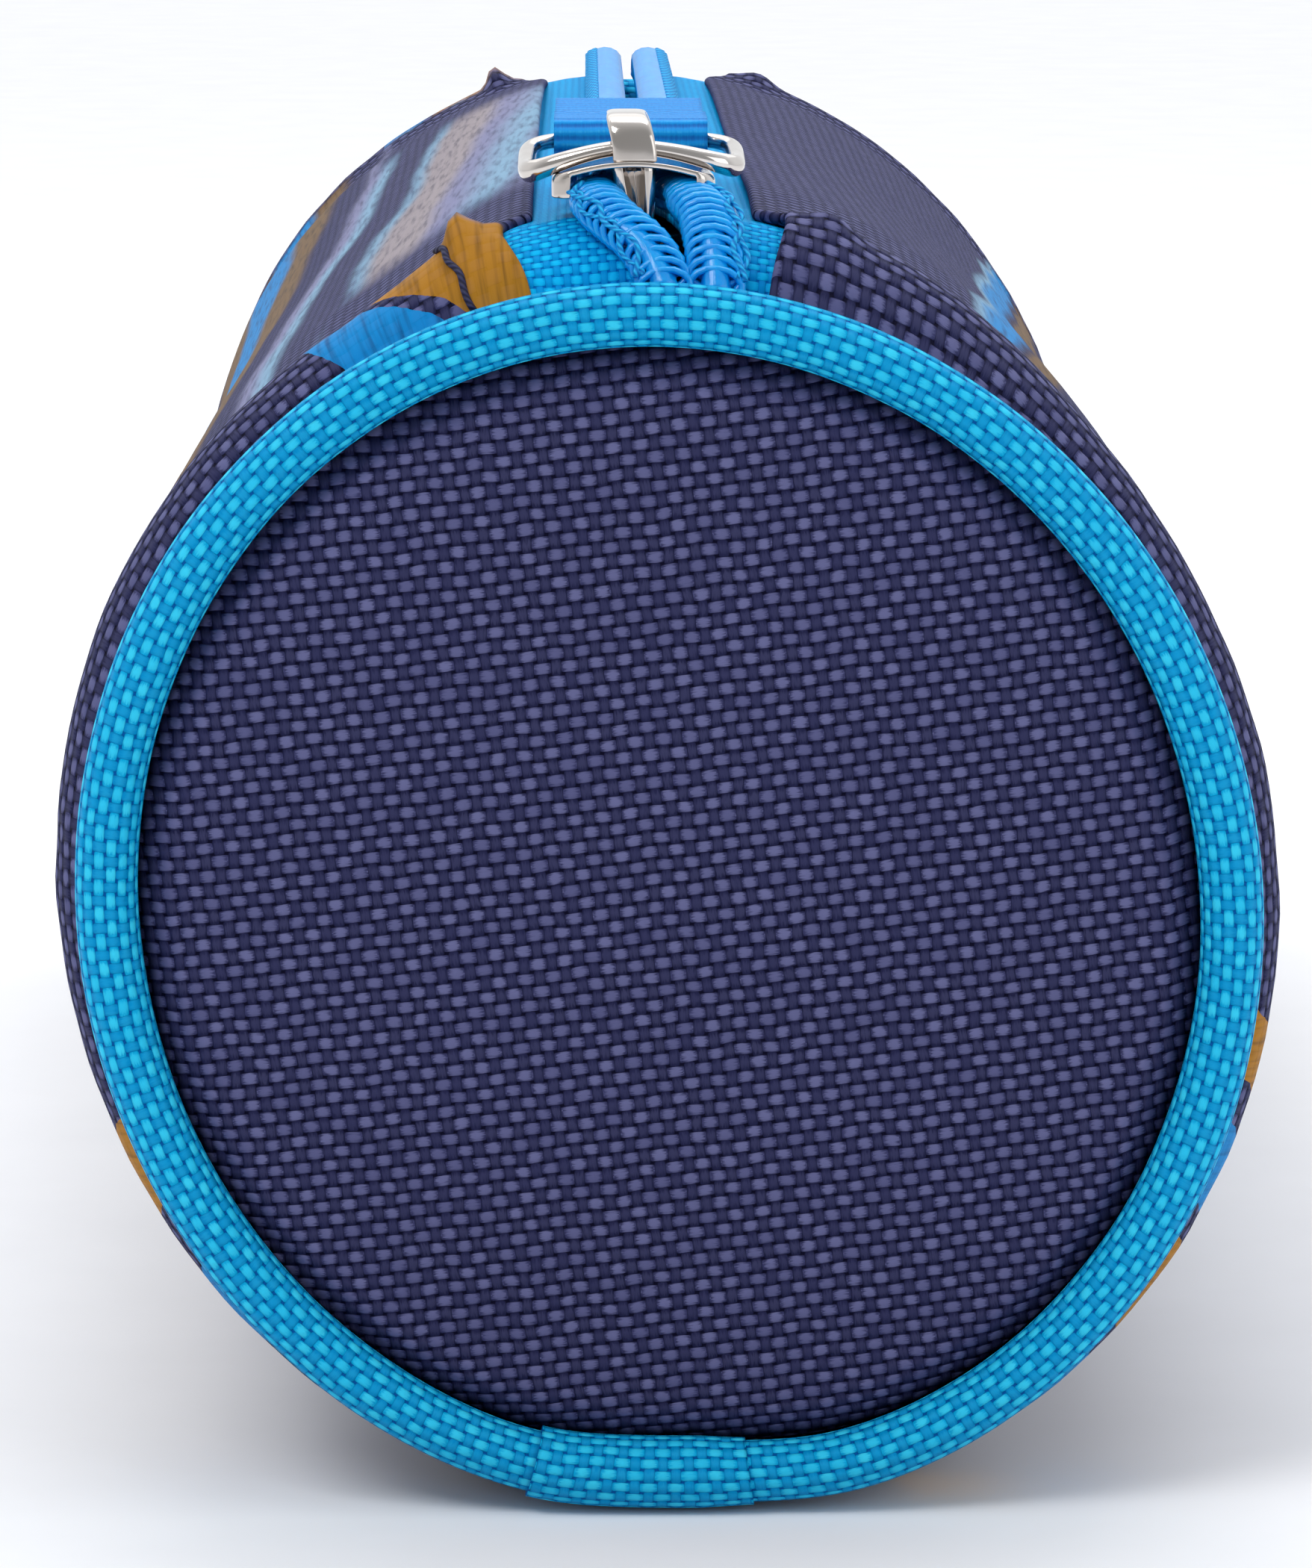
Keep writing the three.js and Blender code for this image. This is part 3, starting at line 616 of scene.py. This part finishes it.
SIDES = {"left": -1, "right": 1}
ENDS = {"front": -1, "back": 1}


# ---------- the wall ----------

# The lining's darkest colour is painted shade in the gaps of its weave, and its palest is a painted highlight
# on the thread crowns.
lining_cloth = woven(
    "lining_weave", (0.42, 0.42),
    linear(14, 15, 28), linear(30, 32, 54), linear(40, 42, 66), linear(70, 72, 98), 0.12, 0.5
)
foam = foam_material()
panel_cloth = woven("navy_weave", depth=0.26, roughness=0.6, **NAVY_THREADS)
wall_cloth = {
    "left": printed_cloth("printed_weave_left", LEFT_NEAR, LEFT_FAR, 0.04, 24.0),
    "right": printed_cloth("printed_weave_right", RIGHT_NEAR, RIGHT_FAR, -0.085, 22.0),
}

for word, side in SIDES.items():
    wall = wall_layer(word + "_wall", side, 2.8, SLIT[word], 0.0, 0.38, wall_cloth[word], TUCK[word], True)
    follow_flap(wall)
    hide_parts("base_panel", word + "_flap_panel")
    pad = wall_layer(word + "_foam", side, 6.2, 17, 1.1, 2.0, foam)
    follow_flap(pad)
    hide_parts("base_foam", word + "_flap_foam")
    lining = wall_layer(word + "_lining", side, 8.2, 11, 3.4, 0.6, lining_cloth)
    follow_flap(lining)
    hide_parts("base_lining", word + "_flap_lining")


# ---------- the ends ----------


WEAVE_TURN = 7 # degrees by which the end panel's weave rises to the right


def end_layer(name, end, edge, depth, thick, dome, drop, material, steps=60):
    """One layer of a domed end, its rim dropping back into the seam."""
    a, b = np.meshgrid(np.linspace(-1, 1, steps), np.linspace(-1, 1, steps), indexing="ij")
    x, z = a * np.sqrt(1 - b * b / 2), b * np.sqrt(1 - a * a / 2)
    share = np.hypot(x, z)
    angle = np.arctan2(z, x)
    y_end = end * LENGTH / 2
    rim = outline(1, angle, edge, y_end, RING_LIFT + edge)
    middle = np.array([0.0, y_end, CENTRE_Z])
    flat = middle + share[..., None] * (rim - middle)
    uneven = 0.22 * wobble(flat, 0.045, 4 + end) * (1 - share**4)
    sink = depth - dome * (1 - share**4) - uneven + drop * smoothstep(share, 0.93, 1.0)
    outer, inner = flat.copy(), flat.copy()
    outer[..., 1] = end * (LENGTH / 2 - sink)
    inner[..., 1] = end * (LENGTH / 2 - sink - thick)
    turn = math.radians(WEAVE_TURN)
    along = flat[..., 0] * math.cos(turn) + flat[..., 2] * math.sin(turn)
    across = flat[..., 2] * math.cos(turn) - flat[..., 0] * math.sin(turn)
    uv = np.stack([along, across], -1) + 60
    return thick_sheet(name, outer, inner, uv, material)


for word, end in ENDS.items():
    face = end_layer(word + "_face", end, 3.7, 2.1, 0.5, 1.85, 1.7, panel_cloth)
    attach(face, "case")
    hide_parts(word + "_panel")
    pad = end_layer(word + "_end_foam", end, 8, 3.2, 2.0, 1.85, 0, foam, 32)
    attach(pad, "case")
    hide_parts(word + "_foam")
    lining = end_layer(word + "_end_lining", end, 8.9, 5.5, 0.6, 1.85, 0, lining_cloth, 40)
    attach(lining, "case")
    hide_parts(word + "_lining")


# ---------- piping ----------

# The piping's dark colour is painted shade in the gaps of its weave, and its pale colour is a painted highlight
# on the thread crowns.
PIPING = dict(
    pitch=(0.87, 2 * math.pi * 2 / 16),
    dark=linear(0, 84, 158), warp=linear(0, 140, 200), weft=linear(2, 166, 220),
    pale=linear(66, 214, 244), depth=0.24, roughness=0.5,
)
piping_cloth = woven("piping_weave", waver=0.08, cloud=0.12, **PIPING)
# The binding's darkest colour is painted shade between its ribs, and its palest is a painted highlight on the
# rib tops.
binding_cloth = ribbed("binding_ribs", 0.8, linear(12, 13, 26), linear(34, 36, 62), linear(70, 72, 100), 0.12)


def ring_frame(angle, inset, y, floor):
    """Points of the end's outline at full angles, with the unit vectors that point outwards from it."""
    y = np.full(angle.shape, float(y))
    here = outline(1, angle, inset, y, floor)
    inside = outline(1, angle, inset + 1, y, floor + 1)
    return here, unit(here - inside)


def ring_tube(
    name, end, angles, inset, distance, radius_a, radius_b, tilt, sides, material, closed, floor=None
):
    path, out = ring_frame(angles, inset, end * (LENGTH / 2 - distance), RING_LIFT + inset)
    back = np.broadcast_to(AHEAD * -end, out.shape)
    side_a = math.cos(tilt) * out + math.sin(tilt) * back
    side_b = -math.sin(tilt) * out + math.cos(tilt) * back

    def flatten(points):
        points[..., 2] = np.maximum(points[..., 2], floor)
        return points

    shape = flatten if floor is not None else None
    start = 0.75 * math.pi
    return tube(name, path, side_a, side_b, radius_a, radius_b, sides, material, closed, shape, start)


SEAM_ANGLE = math.radians(265)
LAP = (math.radians(253.6), math.radians(276))

for word, end in ENDS.items():
    turn = SEAM_ANGLE + np.linspace(0, 2 * math.pi, 520, endpoint=False)
    spots = np.stack([np.cos(turn), np.sin(turn), np.full(turn.shape, end * 2.0)], -1)
    swollen = 2.0 + 0.05 * wobble(spots, 5.0, 6)
    piping = ring_tube(
        word + "_piping_cover", end, turn, 2, 2, swollen, swollen, 0, 28, piping_cloth, True, RING_LIFT
    )
    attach(piping, "case")
    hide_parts(word + "_piping", word + "_piping_cord")
    lap_turn = np.linspace(*LAP, 60)
    radius = 2.32 - 0.14 * smoothstep(lap_turn, math.radians(270), LAP[1])
    lap = ring_tube(
        word + "_piping_overlap", end, lap_turn, 2, 2, radius, radius, 0, 32, piping_cloth, False, 0.0
    )
    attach(lap, "case")
    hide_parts(word + "_piping_lap")
    turn = np.linspace(0, 2 * math.pi, 200, endpoint=False)
    reach = 6.65 * math.sqrt(0.5)
    tilt = math.radians(45)
    binding = ring_tube(
        word + "_binding", end, turn, 2 + reach, 2 + reach, 1.3, 2.05, tilt, 16, binding_cloth, True
    )
    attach(binding, "case")
    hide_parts(word + "_seam_binding")


# ---------- zip ----------

# Where each strand runs: distance from the front, then how far right of the zip's middle.
COIL_AT = [4.6, 5.6, 6.8, 8.2, 9.4, 11, 13, 15, 17, 24]
COIL_X = {
    "left": [1.2, 0.5, -0.9, -2.3, -2.75, -2.7, -2.65, -2.1, -1.6, -1.8],
    "right": [4.4, 4.3, 4.1, 3.8, 3.1, 2.35, 2.3, 1.9, 1.5, 1.8],
}
COIL_START = 4.3
COIL_PITCH = 1.1
COIL_PITCH_FRONT = 0.42
COIL_WIRE = 0.34
COIL_RISE = 0.3
COIL_HALF_WIDTH = 1.35
COIL_HALF_HEIGHT = 0.95

# At the front the strands and the tapes under them dip into the seam.
DIP_AT = [4.3, 5.0, 6.5, 8.5]
COIL_DIP = [1.5, 1.1, 0.4, 0.0]
TAPE_DIP = [1.4, 1.1, 0.4, 0.0]

# The strands are slack in front of the slider, squeezed inside it, and relaxed behind it.
PUFF_AT = [4.6, 9.2, 10.8, 21, 26]
PUFF_BY = [1.48, 1.5, 1.05, 1.0, 1.16]


def coil_offset(word, y):
    """Outward distance of a coil strand from the zip's middle."""
    return SIDES[word] * np.interp(y + LENGTH / 2, COIL_AT, COIL_X[word])


def zip_point(side, offset, depth, y):
    """A point beside the zip at a depth under the wall's top surface."""
    swell_here = np.interp(from_end(y), [2.6, 6.2, 10.5], [-0.6, 0.9, 1.7])
    return lifted(side, angle_at(side, offset, y), depth - swell_here, y, depth)


# The tape's darkest colour is painted shade in the gaps of its weave, and its palest is a painted highlight on
# the thread crowns.
tape_weave = woven(
    "zip_tape_weave", (0.6, 0.46),
    linear(0, 96, 176), linear(0, 136, 206), linear(0, 158, 222), linear(24, 200, 248),
    0.1, 0.5, 0.06, 0.12, 0.02,
)
coil_nylon = nylon()
# Each yarn's dark colour is painted shade in the grooves of its twist, and its pale colour is a painted
# highlight on the ridges.
stitch_yarn = yarn("zip_stitch_yarn", linear(0, 92, 176), linear(30, 184, 240))
navy_thread = yarn("navy_thread", linear(10, 11, 34), linear(44, 46, 84))


def zip_tape(word, side):
    y = stations(4.2)[:, None]
    inner_edge = coil_offset(word, y) - 0.9
    share = np.linspace(0, 1, 26)
    offset = inner_edge + (15.5 - inner_edge) * share
    ripple = 0.12 * wobble(np.stack(np.broadcast_arrays(offset * 0.5, y * 0.12, side * 2.0), -1), 1.0, 7)
    dip = np.interp(y + LENGTH / 2, DIP_AT, TAPE_DIP)
    sink = dip * (1 - smoothstep(share, 0.3, 0.8)) - ripple * (1 - share)
    over = zip_point(side, offset, 1.1 + sink, y)
    under = zip_point(side, offset, 1.6 + sink, y)
    uv = np.stack(np.broadcast_arrays(offset, y + LENGTH / 2), -1)
    return thick_sheet(word + "_tape", over, under, uv, tape_weave)


def strand_middle(word, side, y):
    points = zip_point(side, coil_offset(word, y), -COIL_RISE, y)
    points[..., 2] -= np.interp(y + LENGTH / 2, DIP_AT, COIL_DIP)
    return points


def zip_coil(word, side):
    """The flattened helix of one strand, its loops leaning towards the front."""
    length = LENGTH - 2 * COIL_START
    even = np.linspace(-length / 2, length / 2, 20000)
    pitch = np.interp(even + LENGTH / 2, [9.5, 13.0], [COIL_PITCH_FRONT, COIL_PITCH])
    turned = np.cumsum(2 * math.pi / pitch) * (even[1] - even[0])
    phase = np.arange(turned[0], turned[-1], 2 * math.pi / 14)
    y = np.interp(phase, turned, even)
    phase = phase + (0 if side < 0 else math.pi)
    puff = np.interp(y + LENGTH / 2, PUFF_AT, PUFF_BY)
    middle = strand_middle(word, side, y)
    wide = puff * COIL_HALF_WIDTH - COIL_WIRE
    high = puff * COIL_HALF_HEIGHT - COIL_WIRE * 0.8
    lean = COIL_PITCH * 0.22 * np.sin(phase)
    path = middle + np.stack([side * wide * np.cos(phase), lean, high * np.sin(phase)], -1)
    side_a, side_b = cross_frame(path, AHEAD)
    return tube(word + "_coil", path, side_a, side_b, COIL_WIRE * 0.75, COIL_WIRE * 1.3, 8, coil_nylon)


# Yarns sewn along each strand: outward from its middle, up from its middle, half-thickness, and weave.
COIL_YARNS = {
    "core": (0.0, 0.0, 0.95, 0.0),
    "sewing": (1.0, 0.66, 0.2, 0.24),
    "braid": (1.15, 0.5, 0.18, -0.26),
}


def coil_yarn(word, side, row):
    out, up, wire, sway = COIL_YARNS[row]
    length = LENGTH - 2 * COIL_START
    y = np.linspace(-length / 2, length / 2, 1000)
    puff = np.interp(y + LENGTH / 2, PUFF_AT, PUFF_BY)
    wave = sway * np.cos((y + length / 2) / COIL_PITCH * math.pi)
    middle = strand_middle(word, side, y)
    line = middle + np.stack([side * (out + wave) * puff, np.zeros_like(y), (up - 0.5 * wave) * puff], -1)
    side_a, side_b = cross_frame(line, UP)
    material = coil_nylon if row == "core" else stitch_yarn
    return tube(f"{word}_coil_{row}", line, side_a, side_b, wire, wire * 0.8, 8, material)


for word, side in SIDES.items():
    tape = follow_flap(zip_tape(word, side))
    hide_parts(word + "_zip_tape")
    coil = follow_flap(zip_coil(word, side))
    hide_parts(word + "_zip_coil")
    for row in COIL_YARNS:
        follow_flap(coil_yarn(word, side, row))

# A stray seam thread lies across the fabric between the zip and the front piping.
share = np.linspace(0, 1, 24)
y = -LENGTH / 2 + 4.6 + 5.6 * share
thread_angle = math.pi / 2 - (11.6 + 1.6 * share + 0.12 * np.sin(share * 14)) / 38.7
line = wall_point(-1, thread_angle, -0.16, y)
side_a, side_b = cross_frame(line, UP)
thread = tube("seam_thread", line, side_a, side_b, 0.24, 0.2, 8, navy_thread)
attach(thread, "case")


# ---------- metal ----------

metal = nickel()
SLIDER_X = ZIP_X - 0.7
SLIDER_Y = -LENGTH / 2 + 9.5
PLATE_AT = [0, 0.3, 0.8, 1.5, 4.0, 8.5, 11.0, 11.6, 12.0]
PLATE_HALF_WIDTH = [4.3, 4.75, 5.05, 5.2, 5.2, 3.9, 3.9, 3.6, 3.1]
PLATE_HIGH = 2.25
PLATE_DROP = 1.05
PLATE_THICK = 0.36
SLIDER_LEAN = 0.25  # sideways slip of the post and the bridge for each storey they rise
FLANGE_LOW = -0.1
FLANGE_TURN = 0.55
BASE_HIGH = -2.4
BASE_LOW = -3.0


def slider_plate():
    """The thin arched top plate with the flanges that turn down from its sides."""
    s = np.concatenate([np.linspace(0, 1.6, 9), np.linspace(2.2, 10.8, 14), np.linspace(11.1, 12, 6)])
    half = np.interp(s, PLATE_AT, PLATE_HALF_WIDTH)
    over, under, uv = [], [], []
    for distance, width in zip(s, half):
        flat = np.linspace(0, width - FLANGE_TURN, 14)
        top = ZIP_LINE + PLATE_HIGH - PLATE_DROP * (flat / 5.3) ** 2
        bend = np.linspace(0, math.pi / 2, 7)[1:]
        x = np.concatenate([flat, flat[-1] + FLANGE_TURN * np.sin(bend), np.full(4, width)])
        z = np.concatenate([top, top[-1] - FLANGE_TURN * (1 - np.cos(bend))])
        z = np.concatenate([z, np.linspace(z[-1], ZIP_LINE + FLANGE_LOW, 5)[1:]])
        x, z = np.concatenate([-x[:0:-1], x]), np.concatenate([z[:0:-1], z])
        line = np.stack([x + SLIDER_X, np.full(x.shape, SLIDER_Y + distance), z], -1)
        slope = unit(np.gradient(line[:, [0, 2]], axis=0))
        normal = np.stack([-slope[:, 1], np.zeros(len(x)), slope[:, 0]], -1)
        over.append(line)
        under.append(line - normal * PLATE_THICK)
        uv.append(line[:, :2])
    return thick_sheet("slider_plate", np.array(over), np.array(under), np.array(uv), metal)


def slider_post():
    """The tapered post that parts the strands, with a groove down its front."""
    turn = np.linspace(0, 2 * math.pi, 64, endpoint=False)
    loops = []
    for z in np.linspace(ZIP_LINE + BASE_HIGH - 0.3, ZIP_LINE + PLATE_HIGH - 0.3, 14):
        rise = (z - ZIP_LINE - BASE_HIGH) / (PLATE_HIGH - BASE_HIGH)
        wide = 0.84 + 0.7 * max(rise, 0)
        x = wide * squarish(np.cos(turn), 0.45)
        y = 1.7 * squarish(np.sin(turn), 0.45)
        in_groove = (np.sin(turn) < 0) * (1 - smoothstep(np.abs(x) / wide, 0.3, 0.42))
        y = y + 1.5 * in_groove * (1 - smoothstep(rise, 0.9, 0.97))
        x = x * (1 - 0.5 * smoothstep(y, 0.0, 1.7))
        leaning = x + ZIP_X - SLIDER_LEAN * (1 + 2 * rise)
        loops.append(np.stack([leaning, y + SLIDER_Y + 1.85, np.full(x.shape, z)], -1))
    return loft("slider_post", np.array(loops), metal)


def loft(name, loops, material):
    """A closed body through stacked loops of points, capped at both ends."""
    rows, count = loops.shape[:2]
    face = grid_quads(rows, count, wrap_columns=True)
    faces = (face[..., 0] * count + face[..., 1] % count).tolist()
    faces += [list(range(count)), [(rows - 1) * count + k for k in range(count)]]
    vertices = loops.reshape(-1, 3)
    corner_uvs = vertices[np.concatenate([np.array(f) for f in faces])][:, :2]
    return make_object(name, vertices, faces, corner_uvs, material)


def slider_base():
    """The lower plate, its nose just showing between the strands."""
    s = np.concatenate([np.linspace(0, 1.5, 7), np.linspace(2.2, 12, 14)])
    half = np.interp(s, [0, 0.4, 1.0, 2.4, 4, 8.5, 11, 12], [1.6, 2.3, 3.2, 4.7, 5.0, 3.7, 3.7, 3.0])
    x = SLIDER_X + half[:, None] * np.linspace(-1, 1, 15)
    y = np.broadcast_to((SLIDER_Y + s)[:, None], x.shape)
    top = np.stack([x, y, np.full(x.shape, ZIP_LINE + BASE_HIGH)], -1)
    low = top - UP * (BASE_HIGH - BASE_LOW)
    return thick_sheet("slider_base", top, low, top[..., :2], metal)


def slider_bridge():
    """The strap over the plate that holds the ring."""
    turn = np.linspace(0, math.pi, 64)
    y = SLIDER_Y + 0.3 + 4 - 3.6 * squarish(np.cos(turn), 0.5)
    z = ZIP_LINE + PLATE_HIGH - 0.05 + 2.68 * np.sin(turn) ** 0.5
    x = ZIP_X - SLIDER_LEAN * (2.4 + 2.2 * np.sin(turn))
    path = even_spacing(np.stack([x, y, z], -1), 60, closed=False)
    tangent = unit(np.gradient(path, axis=0))
    side_a = np.broadcast_to([1.0, 0, 0], path.shape)
    half = 1.32 + 0.08 * np.cos(np.linspace(0, 2 * math.pi, len(path)))
    side_b = np.cross(tangent, side_a)
    return tube("slider_bridge", path, side_a, side_b, half, 0.38, 32, metal, squareness=0.5)


def even_spacing(points, count, closed=True):
    """The same line with its points evenly spaced."""
    line = np.concatenate([points, points[:1]]) if closed else points
    steps = np.concatenate([[0], np.cumsum(np.linalg.norm(np.diff(line, axis=0), axis=1))])
    at = np.linspace(0, steps[-1], count, endpoint=not closed)
    return np.stack([np.interp(at, steps, line[:, k]) for k in range(3)], -1)


def soften(piece, width):
    """Rounds a metal piece's sharp edges; width in millimetres."""
    bevel = piece.modifiers.new("soft_edges", "BEVEL")
    bevel.width = width * MM
    bevel.segments = 3
    bevel.limit_method = "ANGLE"
    bevel.angle_limit = math.radians(40)


for piece, node in (
    (slider_plate(), "slider_body"),
    (slider_post(), "slider_body"),
    (slider_base(), "slider_body"),
    (slider_bridge(), "slider_crown"),
):
    soften(piece, 0.12)
    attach(piece, "slider")
    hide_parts(node)

RING_PIVOT = np.array([ZIP_X - 0.8, SLIDER_Y + 2.0, ZIP_LINE + 3.05])
RING_WIDTH = 13.4
RING_DEPTH = 11.3
RING_TILT = math.radians(-1.5)
RING_SQUARENESS = 0.35
RING_WIRE = 0.6
DROOP_LEFT = 1.85
DROOP_RIGHT = 1.45

turn = np.linspace(0, 2 * math.pi, 2400, endpoint=False)
across = RING_WIDTH / 2 * squarish(np.cos(turn), RING_SQUARENESS)
along = RING_DEPTH / 2 * (1 + squarish(np.sin(turn), RING_SQUARENESS))
line = RING_PIVOT + np.stack([across, along * math.cos(RING_TILT), along * math.sin(RING_TILT)], -1)
line = even_spacing(line, 200)
reach = (line[:, 0] - RING_PIVOT[0]) / (RING_WIDTH / 2)
nearness = np.clip(1 - (line[:, 1] - RING_PIVOT[1]) / RING_DEPTH, 0, 1)
line[:, 2] -= np.where(reach < 0, DROOP_LEFT, DROOP_RIGHT) * np.abs(reach) ** 1.7 * nearness**0.6
ring_normal = np.array([0, -math.sin(RING_TILT), math.cos(RING_TILT)])
tangent = unit(np.roll(line, -1, 0) - np.roll(line, 1, 0))
side_b = np.broadcast_to(ring_normal, line.shape)
height = 0.48 + 0.3 * np.abs(reach) ** 2 * nearness
ring = tube("wire_ring", line, np.cross(tangent, side_b), side_b, RING_WIRE, height, 24, metal, closed=True)
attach(ring, "ring")
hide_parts("pull_ring")


# ---------- ribbon ----------

RIBBON_PIVOT = RING_PIVOT + RING_DEPTH * np.array([0, math.cos(RING_TILT), math.sin(RING_TILT)])
RIBBON_SLOPE = math.radians(2.5)
RIBBON_WIDTH = 10.0
RIBBON_LENGTH = 26
UPPER_LENGTH = 7.4
NECK = 6
LOOP_RADIUS = 1.15
LAYER_GAP = 0.36
UPPER_GAP = 0.8
RIBBON_HALF_THICK = 0.2


def layer(length, count, gap):
    """One layer behind the bar: distances back, and heights that close in on the other layer."""
    back = np.linspace(0, length, count)[1:]
    return np.stack([back, LOOP_RADIUS + (gap - LOOP_RADIUS) * smoothstep(back, 0, NECK)], -1)


turn = np.linspace(-math.pi / 2, -3 * math.pi / 2, 26)
loop = np.stack([LOOP_RADIUS * np.cos(turn), LOOP_RADIUS * np.sin(turn)], -1)
upper = layer(UPPER_LENGTH, 20, UPPER_GAP)
lower = (layer(RIBBON_LENGTH, 54, LAYER_GAP) * [1, -1])[::-1]
profile = np.concatenate([lower, loop, upper])
tangent = unit(np.gradient(profile, axis=0))
normal = np.stack([-tangent[:, 1], tangent[:, 0]], -1)
across = np.linspace(-RIBBON_WIDTH / 2, RIBBON_WIDTH / 2, 25)
wavy = 0.5 * wobble(np.stack([across * 0.9, across * 0, across * 0], -1), 1.0, 9)
on_top = smoothstep(profile[:, 0], 3.0, UPPER_LENGTH) * (profile[:, 1] > 0)


def ribbon_surface(shift):
    flat = profile + normal * shift
    back = flat[:, 0, None] + on_top[:, None] * wavy
    high = flat[:, 1, None] + on_top[:, None] * wavy * 0.25
    points = np.zeros((len(profile), len(across), 3))
    points[..., 0] = RIBBON_PIVOT[0] + across
    points[..., 1] = RIBBON_PIVOT[1] + back * math.cos(RIBBON_SLOPE) - high * math.sin(RIBBON_SLOPE)
    points[..., 2] = RIBBON_PIVOT[2] + back * math.sin(RIBBON_SLOPE) + high * math.cos(RIBBON_SLOPE)
    return points


measure = np.concatenate([[0], np.cumsum(np.linalg.norm(np.diff(profile, axis=0), axis=1))])
uv = np.stack(np.broadcast_arrays(across, measure[:, None]), -1)
# The ribbon's darkest colour is painted shade between its ribs, and its palest is a painted highlight on the
# rib tops.
ribbon_cloth = ribbed(
    "ribbon_ribs", 0.75, linear(0, 92, 176), linear(2, 142, 222), linear(70, 190, 244), 0.14
)
ribbon_over = ribbon_surface(RIBBON_HALF_THICK)
ribbon_under = ribbon_surface(-RIBBON_HALF_THICK)
ribbon = thick_sheet("zip_ribbon", ribbon_over, ribbon_under, uv, ribbon_cloth)
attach(ribbon, "ribbon")
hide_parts("pull_ribbon")


# ---------- studio ----------


def area_light(name, place, target, size, power, colour=(1, 1, 1)):
    data = bpy.data.lights.new(name, "AREA")
    data.shape = "RECTANGLE"
    data.size, data.size_y = size
    data.energy = power
    data.color = colour
    light = bpy.data.objects.new(name, data)
    light.location = place
    light.rotation_euler = (Vector(target) - Vector(place)).to_track_quat("-Z", "Y").to_euler()
    bpy.context.scene.collection.objects.link(light)
    return light


def make_floor():
    g = Graph("studio_floor")
    where = g.node("TexCoord").outputs["Object"]
    grain = g.noise(where, 60.0, 3.0)
    colour = g.mix(grain, linear(238, 238, 240), linear(246, 246, 248))
    g.finish(Base_Color=colour, Roughness=0.9, Specular_IOR_Level=0.1)
    mesh = bpy.data.meshes.new("floor")
    reach = 6.0
    corners = [(-reach, -reach, 0), (reach, -reach, 0), (reach, reach, 0), (-reach, reach, 0)]
    mesh.from_pydata(corners, [], [(0, 1, 2, 3)])
    mesh.materials.append(g.material)
    floor = bpy.data.objects.new("floor", mesh)
    bpy.context.scene.collection.objects.link(floor)


def make_camera():
    pitch, yaw = math.radians(CAMERA_PITCH), math.radians(CAMERA_YAW)
    forward = Vector((math.sin(yaw) * math.cos(pitch), math.cos(yaw) * math.cos(pitch), -math.sin(pitch)))
    right = forward.cross(Vector((0, 0, 1))).normalized()
    up = right.cross(forward)
    data = bpy.data.cameras.new("camera")
    data.lens = CAMERA_LENS
    data.sensor_width = 36
    data.clip_start = 0.01
    camera = bpy.data.objects.new("camera", data)
    camera.location = Vector(AIM) - CAMERA_DISTANCE * (forward + AIM_RIGHT * right + AIM_UP * up)
    camera.rotation_euler = forward.to_track_quat("-Z", "Y").to_euler()
    bpy.context.scene.collection.objects.link(camera)
    bpy.context.scene.camera = camera


def make_world():
    """A white studio, dimmer on the camera's side, so that the metal has something dark to mirror."""
    world = bpy.data.worlds.new("studio")
    world.use_nodes = True
    nodes, links = world.node_tree.nodes, world.node_tree.links
    where = nodes.new("ShaderNodeTexCoord")
    split = nodes.new("ShaderNodeSeparateXYZ")
    links.new(where.outputs["Generated"], split.inputs[0])
    fade = nodes.new("ShaderNodeMapRange")
    fade.interpolation_type = "SMOOTHSTEP"
    limits = {"From Min": -0.75, "From Max": 0.35, "To Min": WORLD_FRONT, "To Max": WORLD_BACK}
    for socket, value in limits.items():
        fade.inputs[socket].default_value = value
    links.new(split.outputs["Y"], fade.inputs["Value"])
    background = nodes["Background"]
    background.inputs["Color"].default_value = (0.96, 0.98, 1.0, 1)
    links.new(fade.outputs["Result"], background.inputs["Strength"])
    bpy.context.scene.world = world


WORLD_FRONT = 0.42
WORLD_BACK = 1.0

bpy.context.scene.view_settings.view_transform = "Standard"
make_world()
make_floor()
make_camera()
area_light("key", (-0.45, -0.6, 0.9), (0, -0.05, 0.04), (0.5, 0.4), 4.5)
area_light("fill", (0.7, -0.6, 0.35), (0, -0.05, 0.04), (0.6, 0.6), 1.5)
area_light("top", (0.05, 0.25, 0.9), (0, 0.0, 0.06), (0.7, 0.5), 2.5)
area_light("backdrop", (0, 2.4, 1.9), (0, 2.4, 0), (4, 3.4), 26)
